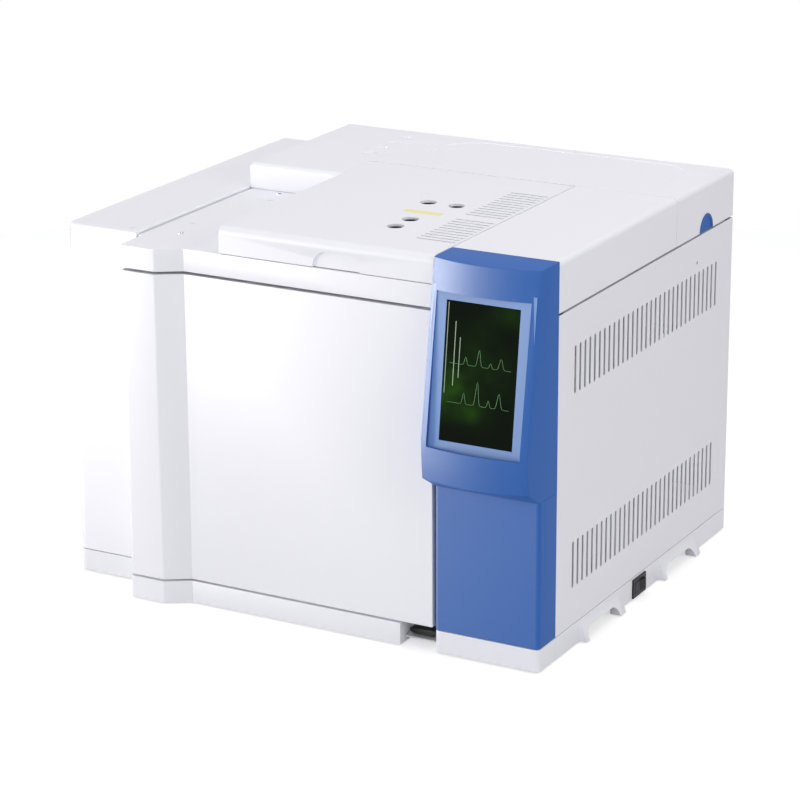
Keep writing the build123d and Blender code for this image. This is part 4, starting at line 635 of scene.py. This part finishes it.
def mark_strip(lid):
    """Lay the plain yellow strip between the needle holes, as faces of the lid's top."""
    low, high = Vector(STRIP_LOW) * MM, Vector(STRIP_HIGH) * MM
    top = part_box("lid")[1].z
    shape = bmesh.new()
    shape.from_mesh(lid.data)
    for axis, places in enumerate(((low.x, high.x), (low.y, high.y))):
        for place in places:
            flat = [f for f in shape.faces if is_top(f, top) and spans(f, axis, place)]
            parts = flat + list({e for f in flat for e in f.edges}) + list({v for f in flat for v in f.verts})
            direction = Vector((axis == 0, axis == 1, 0))
            point = direction * place
            bmesh.ops.bisect_plane(shape, geom=parts, plane_co=point, plane_no=direction, dist=1e-7)
    for face in shape.faces:
        spot = face.calc_center_median()
        if low.x < spot.x < high.x and low.y < spot.y < high.y and is_top(face, top):
            face.material_index = 1
    shape.to_mesh(lid.data)
    shape.free()
    lid.data.materials.append(finish("yellow_strip"))


def is_top(face, top):
    """Whether a face looks up and lies at the height of the top."""
    return face.normal.z > FACING and face.calc_center_median().z > top - SKIN_DEPTH


def spans(face, axis, place):
    """Whether a face lies on both sides of a place along an axis."""
    values = [vert.co[axis] for vert in face.verts]
    return min(values) < place < max(values)


class BuildDoor(bpy.types.Operator):
    """Build the oven door with its lining, seal, hinges and catches"""

    bl_idname = "chromatograph.build_door"
    bl_label = "Oven door"

    def execute(self, context):
        skin("door_shell", sizes().cover_edge, segments=3)
        skin("door_inner_panel", sizes().metal_edge * 2)
        skin("door_insulation", FELT_EDGE)
        skin("door_gasket", GASKET_EDGE, segments=3)
        for node in ("hinge_pins", "upper_hinge_bracket", "door_catches"):
            skin(node, sizes().metal_edge)
        return {"FINISHED"}


class BuildButton(bpy.types.Operator):
    """Build the door button and its surround"""

    bl_idname = "chromatograph.build_button"
    bl_label = "Door button"

    def execute(self, context):
        skin("button_surround", sizes().cover_edge * 0.6)
        button = skin("release_button", sizes().cover_edge * 0.5)
        low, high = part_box("release_button")
        middle, half = (low.z + high.z) / 2, (high.x - low.x) / 2
        for vert in button.data.vertices:
            if vert.co.y < low.y + BAR_DEPTH:
                across = (vert.co.x - (low.x + high.x) / 2) / half
                vert.co.z = middle + (vert.co.z - middle) * (BAR_MIDDLE - BAR_TAPER * across * across)
        return {"FINISHED"}


class BuildOven(bpy.types.Operator):
    """Build the oven's liner, insulation, baffle, heater, fan and motor"""

    bl_idname = "chromatograph.build_oven"
    bl_label = "Oven"

    def execute(self, context):
        for node in ("oven_liner", "oven_shell", "air_baffle", "oven_heater"):
            skin(node, sizes().metal_edge)
        for node in ("oven_fan", "fan_motor", "exhaust_duct"):
            skin(node, sizes().metal_edge)
        skin("oven_insulation", FELT_EDGE)
        for node in ("vent_flap", "flap_hinge"):
            skin(node, sizes().metal_edge)
        return {"FINISHED"}


class BuildColumn(bpy.types.Operator):
    """Wind the capillary column and build the rack that holds it"""

    bl_idname = "chromatograph.build_column"
    bl_label = "Capillary column"

    def execute(self, context):
        low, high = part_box("capillary_column")
        middle = (low + high) / 2
        outer = (high.x - low.x) / 2
        radius = sizes().winding_wire / 2
        turns = sizes().windings
        points = []
        for layer in range(WINDING_LAYERS):
            reach = outer - radius - OUTER_GAP - layer * LAYER_STEP
            first, last = low.y + END_GAP, high.y - END_GAP
            if layer % 2:
                first, last = last, first
            for step in range(turns * TURN_STEPS):
                turn = 2 * math.pi * step / TURN_STEPS
                y = first + (last - first) * step / (turns * TURN_STEPS)
                points.append((middle.x + reach * math.cos(turn), y, middle.z + reach * math.sin(turn)))
        stood_for = ("capillary_column",)
        wire("column_windings", points, radius, "cabinet", "column", resolution=1, stands_for=stood_for)
        hoop_reach = outer - HOOP_INSET
        for number, y in enumerate((low.y + OUTER_GAP, middle.y, high.y - OUTER_GAP)):
            hoop = []
            for step in range(HOOP_STEPS):
                turn = 2 * math.pi * step / HOOP_STEPS
                across, up = hoop_reach * math.cos(turn), hoop_reach * math.sin(turn)
                hoop.append((middle.x + across, y, middle.z + up))
            wire(f"column_hoop_{number + 1}", hoop, HOOP_RADIUS, "cabinet", "bolt_steel", cyclic=True)
        skin("column_rack", sizes().metal_edge)
        return {"FINISHED"}


class BuildPorts(bpy.types.Operator):
    """Build the injectors and detectors with their nuts, caps and heated blocks"""

    bl_idname = "chromatograph.build_ports"
    bl_label = "Injectors and detectors"

    def execute(self, context):
        for node in ("injectors", "detectors", "detector_caps", "heater_blocks"):
            skin(node, sizes().metal_edge)
        skin("septum_nuts", sizes().metal_edge)
        for number, points in enumerate(islands("septum_nuts")):
            low, high = box_of(points)
            self.knurl(f"septum_nut_grip_{number + 1}", low, high)
        return {"FINISHED"}

    def knurl(self, name, low, high):
        """A band of upright ridges round a nut, turned by a finger and thumb."""
        middle, reach = (low + high) / 2, (high.x - low.x) / 2
        count = 4 * sizes().nut_ridges
        foot, head = low.z + (high.z - low.z) * BAND_FOOT, high.z - BAND_TOP_GAP
        levels = ((foot, 0.0), (foot + RIDGE_RISE, 1.0), (head - RIDGE_RISE, 1.0), (head, 0.0))
        shape = bmesh.new()
        rings = []
        for z, lift in levels:
            ring = []
            for step in range(count):
                turn = 2 * math.pi * step / count
                out = reach - RIDGE_SINK + (RIDGE_RISE * lift if step % 4 in (1, 2) else 0.0)
                across, deep = out * math.cos(turn), out * math.sin(turn)
                ring.append(shape.verts.new((middle.x + across, middle.y + deep, z)))
            rings.append(ring)
        for one, two in zip(rings, rings[1:]):
            for step in range(count):
                after = (step + 1) % count
                shape.faces.new((one[step], one[after], two[after], two[step]))
        shape.faces.new(rings[0][::-1])
        shape.faces.new(rings[-1])
        put(name, mesh_from(shape, name), "cabinet", "black_plastic", angle=20.0)


class BuildGas(bpy.types.Operator):
    """Build the gas manifold, valves, tubes and rear fittings"""

    bl_idname = "chromatograph.build_gas"
    bl_label = "Gas supply"

    def execute(self, context):
        for node in ("gas_manifold", "flow_valves", "gas_fittings"):
            skin(node, sizes().metal_edge)
        skin("gas_tubes", 0.0)
        return {"FINISHED"}


class BuildElectronics(bpy.types.Operator):
    """Build the power supply, the main board, the cooling fan and the mains inlet"""

    bl_idname = "chromatograph.build_electronics"
    bl_label = "Electronics"

    def execute(self, context):
        for node in ("power_supply", "main_board", "cooling_fan_frame", "cooling_rotor", "mains_inlet"):
            skin(node, sizes().metal_edge)
        return {"FINISHED"}


class BuildDisplay(bpy.types.Operator):
    """Build the blue column, the display housing and the screen"""

    bl_idname = "chromatograph.build_display"
    bl_label = "Display"

    def execute(self, context):
        low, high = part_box("display_housing")

        def outer_edge(edge):
            """The housing's outer corners, top rim and chin."""
            middle = (edge.verts[0].co + edge.verts[1].co) / 2
            along = (edge.verts[0].co - edge.verts[1].co).normalized()
            at_side = min(abs(middle.x - low.x), abs(middle.x - high.x)) < AT_FACE
            at_front = at_side and abs(along.x) < 0.3 and middle.y < HOUSING_FRONT_Y and abs(along.z) > 0.3
            at_top = abs(middle.z - high.z) < AT_FACE and middle.y < HOUSING_TOP_Y and abs(along.z) < 0.2
            at_chin = abs(middle.z - CHIN_Z) < AT_CHIN and middle.y < CHIN_Y
            return at_front or at_top or at_chin

        edge, rounding = sizes().cover_edge * 0.6, sizes().housing_edge
        housing = skin("display_housing", edge, big=outer_edge, big_width=rounding)
        centre, normal = screen_face()
        housing.data.materials.append(finish("blue_pad"))
        for face in housing.data.polygons:
            depth = (Vector(face.center) - centre).dot(normal)
            if face.normal.dot(normal) > FACING and 0.0 < depth < 0.002:
                face.material_index = 1
        skin("lower_column_panel", sizes().cover_edge)
        skin("screen_glass", sizes().metal_edge, material=screen_finish(*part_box("screen_glass")))
        skin("display_module", sizes().metal_edge)
        draw_screen(centre, normal)
        return {"FINISHED"}


def screen_face():
    """The middle of the glass's front face, and the way it looks."""
    glass = frame["nodes"]["screen_glass"].data
    normal = max((f for f in glass.polygons if f.normal.y < -0.9), key=lambda f: f.area).normal.copy()
    front = max(v.co.dot(normal) for v in glass.vertices)
    spots = [v.co for v in glass.vertices if front - v.co.dot(normal) < 1e-5]
    low, high = box_of(spots)
    return (low + high) / 2, normal


def draw_screen(centre, normal):
    """Upright rules and two plain peak traces, drawn in light on the glass."""
    upward = Vector((1, 0, 0)).cross(normal) * -1
    low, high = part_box("screen_glass")
    width, height = high.x - low.x, high.z - low.z

    def spot(u, v):
        """A point on the glass: u and v run from -0.5 to 0.5."""
        return centre + Vector((u * width, 0, 0)) + upward * (v * height) + normal * LINE_LIFT

    pale = lit_finish("screen_rule", (0.50, 0.66, 0.46), 0.55)
    faint = lit_finish("screen_trace", (0.22, 0.62, 0.20), 0.35)
    for number, (u, foot, head) in enumerate(SCREEN_RULES):
        ends = [spot(u, foot), spot(u, head)]
        wire(f"screen_rule_{number + 1}", ends, RULE_RADIUS, "cabinet", "screen", material=pale)
    for number, (foot, scale) in enumerate(SCREEN_TRACES):
        line = []
        for step in range(TRACE_STEPS + 1):
            u = TRACE_START + TRACE_SPAN * step / TRACE_STEPS
            rise = sum(tall * math.exp(-(((u - at) / broad) ** 2)) for at, tall, broad in TRACE_PEAKS)
            line.append(spot(u, foot + scale * rise))
        wire(f"screen_trace_{number + 1}", line, TRACE_RADIUS, "cabinet", "screen", material=faint)


class BuildSwitch(bpy.types.Operator):
    """Build the power switch"""

    bl_idname = "chromatograph.build_switch"
    bl_label = "Power switch"

    def execute(self, context):
        skin("switch_bezel", sizes().metal_edge * 1.5)
        skin("power_rocker", sizes().metal_edge * 2)
        return {"FINISHED"}


class BuildScrews(bpy.types.Operator):
    """Build the cover screws"""

    bl_idname = "chromatograph.build_screws"
    bl_label = "Screws"

    def execute(self, context):
        for number, points in enumerate(islands("cover_screws")):
            low, high = box_of(points)
            middle, span = (low + high) / 2, high - low
            along = max(range(3), key=lambda axis: abs(2 * span[axis] - sum(span)))
            head_end = max((low, high), key=lambda end: self.reach(points, middle, along, end[along]))
            reach = self.reach(points, middle, along, head_end[along])
            outward = 1 if head_end[along] > middle[along] else -1
            tall = min(HEAD_TALLEST, span[along] / 3)
            spot = middle.copy()
            spot[along] = head_end[along]
            lathe(
                f"screw_head_{number + 1:02d}",
                [(reach * r, tall * h * outward) for r, h in HEAD_PROFILE],
                "cabinet",
                "bolt_steel",
                place=spot,
                axis="XYZ"[along],
                steps=24,
                stands_for=("cover_screws",),
            )
        return {"FINISHED"}

    def reach(self, points, middle, along, level):
        """How far a screw's points lie from its axis at one end."""
        ring = [p for p in points if abs(p[along] - level) < 0.0001]
        across = [axis for axis in range(3) if axis != along]
        return max(math.hypot(*(p[axis] - middle[axis] for axis in across)) for p in ring)


class BuildStage(bpy.types.Operator):
    """Set up the pale floor, the studio lamps and the camera"""

    bl_idname = "chromatograph.build_stage"
    bl_label = "Stage"

    def execute(self, context):
        scene = context.scene
        build_floor(scene)
        target = Vector(LAMP_TARGET)
        for name, place, wide in LAMPS:
            light = bpy.data.lights.new(name, "AREA")
            light.size = wide
            light.energy = getattr(sizes(), name + "_power")
            lamp = bpy.data.objects.new(name, light)
            scene.collection.objects.link(lamp)
            lamp.location = place
            lamp.visible_camera = False
            lamp.visible_diffuse = name != "sheen"
            lamp.rotation_mode = "QUATERNION"
            lamp.rotation_quaternion = (target - Vector(place)).to_track_quat("-Z", "Y")
        build_world(scene)
        build_camera(scene)
        scene.view_settings.view_transform = "Standard"
        return {"FINISHED"}


def seen_rays(nodes, links):
    """Where a ray comes from the camera, from a mirror or through glass: 1, elsewhere 0."""
    rays = nodes.new("ShaderNodeLightPath")
    seen = node_at(nodes, "ShaderNodeMath", "MAXIMUM")
    links.new(rays.outputs["Is Camera Ray"], seen.inputs[0])
    links.new(rays.outputs["Is Transmission Ray"], seen.inputs[1])
    either = node_at(nodes, "ShaderNodeMath", "MAXIMUM")
    links.new(seen.outputs[0], either.inputs[0])
    links.new(rays.outputs["Is Glossy Ray"], either.inputs[1])
    return either.outputs[0]


def build_floor(scene):
    """A pale floor that looks white, keeps soft shadows and throws little light back."""
    shape = bmesh.new()
    bmesh.ops.create_circle(shape, cap_ends=True, segments=96, radius=sizes().floor_radius)
    mesh = mesh_from(shape, "floor")
    ground = bpy.data.objects.new("floor", mesh)
    scene.collection.objects.link(ground)
    pale, nodes, links, shader = blank("floor")
    shader.inputs["Base Color"].default_value = (0.60, 0.60, 0.60, 1.0)
    shader.inputs["Roughness"].default_value = 0.9
    shader.inputs["Specular IOR Level"].default_value = 0.1
    shader.inputs["Emission Color"].default_value = (1.0, 1.0, 1.0, 1.0)
    glow = node_at(nodes, "ShaderNodeMath", "MULTIPLY", i1=sizes().floor_glow)
    links.new(seen_rays(nodes, links), glow.inputs[0])
    links.new(glow.outputs[0], shader.inputs["Emission Strength"])
    mesh.materials.append(pale)


def build_world(scene):
    """Soft light from all round, which looks white itself."""
    world = bpy.data.worlds.new("studio")
    scene.world = world
    world.use_nodes = True
    nodes, links = world.node_tree.nodes, world.node_tree.links
    nodes.clear()
    dim = nodes.new("ShaderNodeBackground")
    dim.inputs["Color"].default_value = (0.95, 0.96, 1.0, 1.0)
    dim.inputs["Strength"].default_value = sizes().room_light
    white = nodes.new("ShaderNodeBackground")
    white.inputs["Color"].default_value = (1.0, 1.0, 1.0, 1.0)
    blend = nodes.new("ShaderNodeMixShader")
    links.new(seen_rays(nodes, links), blend.inputs[0])
    links.new(dim.outputs[0], blend.inputs[1])
    links.new(white.outputs[0], blend.inputs[2])
    out = nodes.new("ShaderNodeOutputWorld")
    links.new(blend.outputs[0], out.inputs[0])


def build_camera(scene):
    """A long lens from the front right, above the instrument."""
    camera = bpy.data.cameras.new("camera")
    camera.lens = CAMERA_LENS
    camera.sensor_width = CAMERA_SENSOR
    camera.clip_start = 0.1
    camera.clip_end = 50.0
    holder = bpy.data.objects.new("camera", camera)
    scene.collection.objects.link(holder)
    right = Vector(CAMERA_RIGHT).normalized()
    ahead = Vector(CAMERA_AHEAD).normalized()
    upward = right.cross(ahead).normalized()
    turn = Matrix((right, upward, -ahead)).transposed().to_4x4()
    holder.matrix_world = Matrix.Translation(CAMERA_PLACE) @ turn
    scene.camera = holder


STEPS = (
    BuildBase,
    BuildChassis,
    BuildCovers,
    BuildLid,
    BuildDoor,
    BuildButton,
    BuildOven,
    BuildColumn,
    BuildPorts,
    BuildGas,
    BuildElectronics,
    BuildDisplay,
    BuildSwitch,
    BuildScrews,
    BuildStage,
)


class ChromatographPanel(bpy.types.Panel):
    """Lists the steps and their settings"""

    bl_label = "Gas Chromatograph"
    bl_idname = "VIEW3D_PT_chromatograph"
    bl_space_type = "VIEW_3D"
    bl_region_type = "UI"
    bl_category = "Chromatograph"

    def draw(self, context):
        for group in (context.scene.chromatograph_sizes, context.scene.chromatograph_colours):
            box = self.layout.box()
            for name in group.bl_rna.properties.keys():
                if name not in ("rna_type", "name"):
                    box.prop(group, name)
        steps = self.layout.column(align=True)
        for step in STEPS:
            steps.operator(step.bl_idname)


CLASSES = (ChromatographSizes, ChromatographColours, *STEPS, ChromatographPanel)


def register():
    """Register the classes and the scene's settings."""
    for item in CLASSES:
        bpy.utils.register_class(item)
    bpy.types.Scene.chromatograph_sizes = PointerProperty(type=ChromatographSizes)
    bpy.types.Scene.chromatograph_colours = PointerProperty(type=ChromatographColours)


def unregister():
    """Take the classes and the scene's settings away again."""
    del bpy.types.Scene.chromatograph_colours
    del bpy.types.Scene.chromatograph_sizes
    for item in reversed(CLASSES):
        bpy.utils.unregister_class(item)


def main():
    """Build every piece and the stage."""
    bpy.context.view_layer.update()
    register()
    for step in STEPS:
        area, action = step.bl_idname.split(".")
        getattr(getattr(bpy.ops, area), action)()


if __name__ == "__main__":
    main()
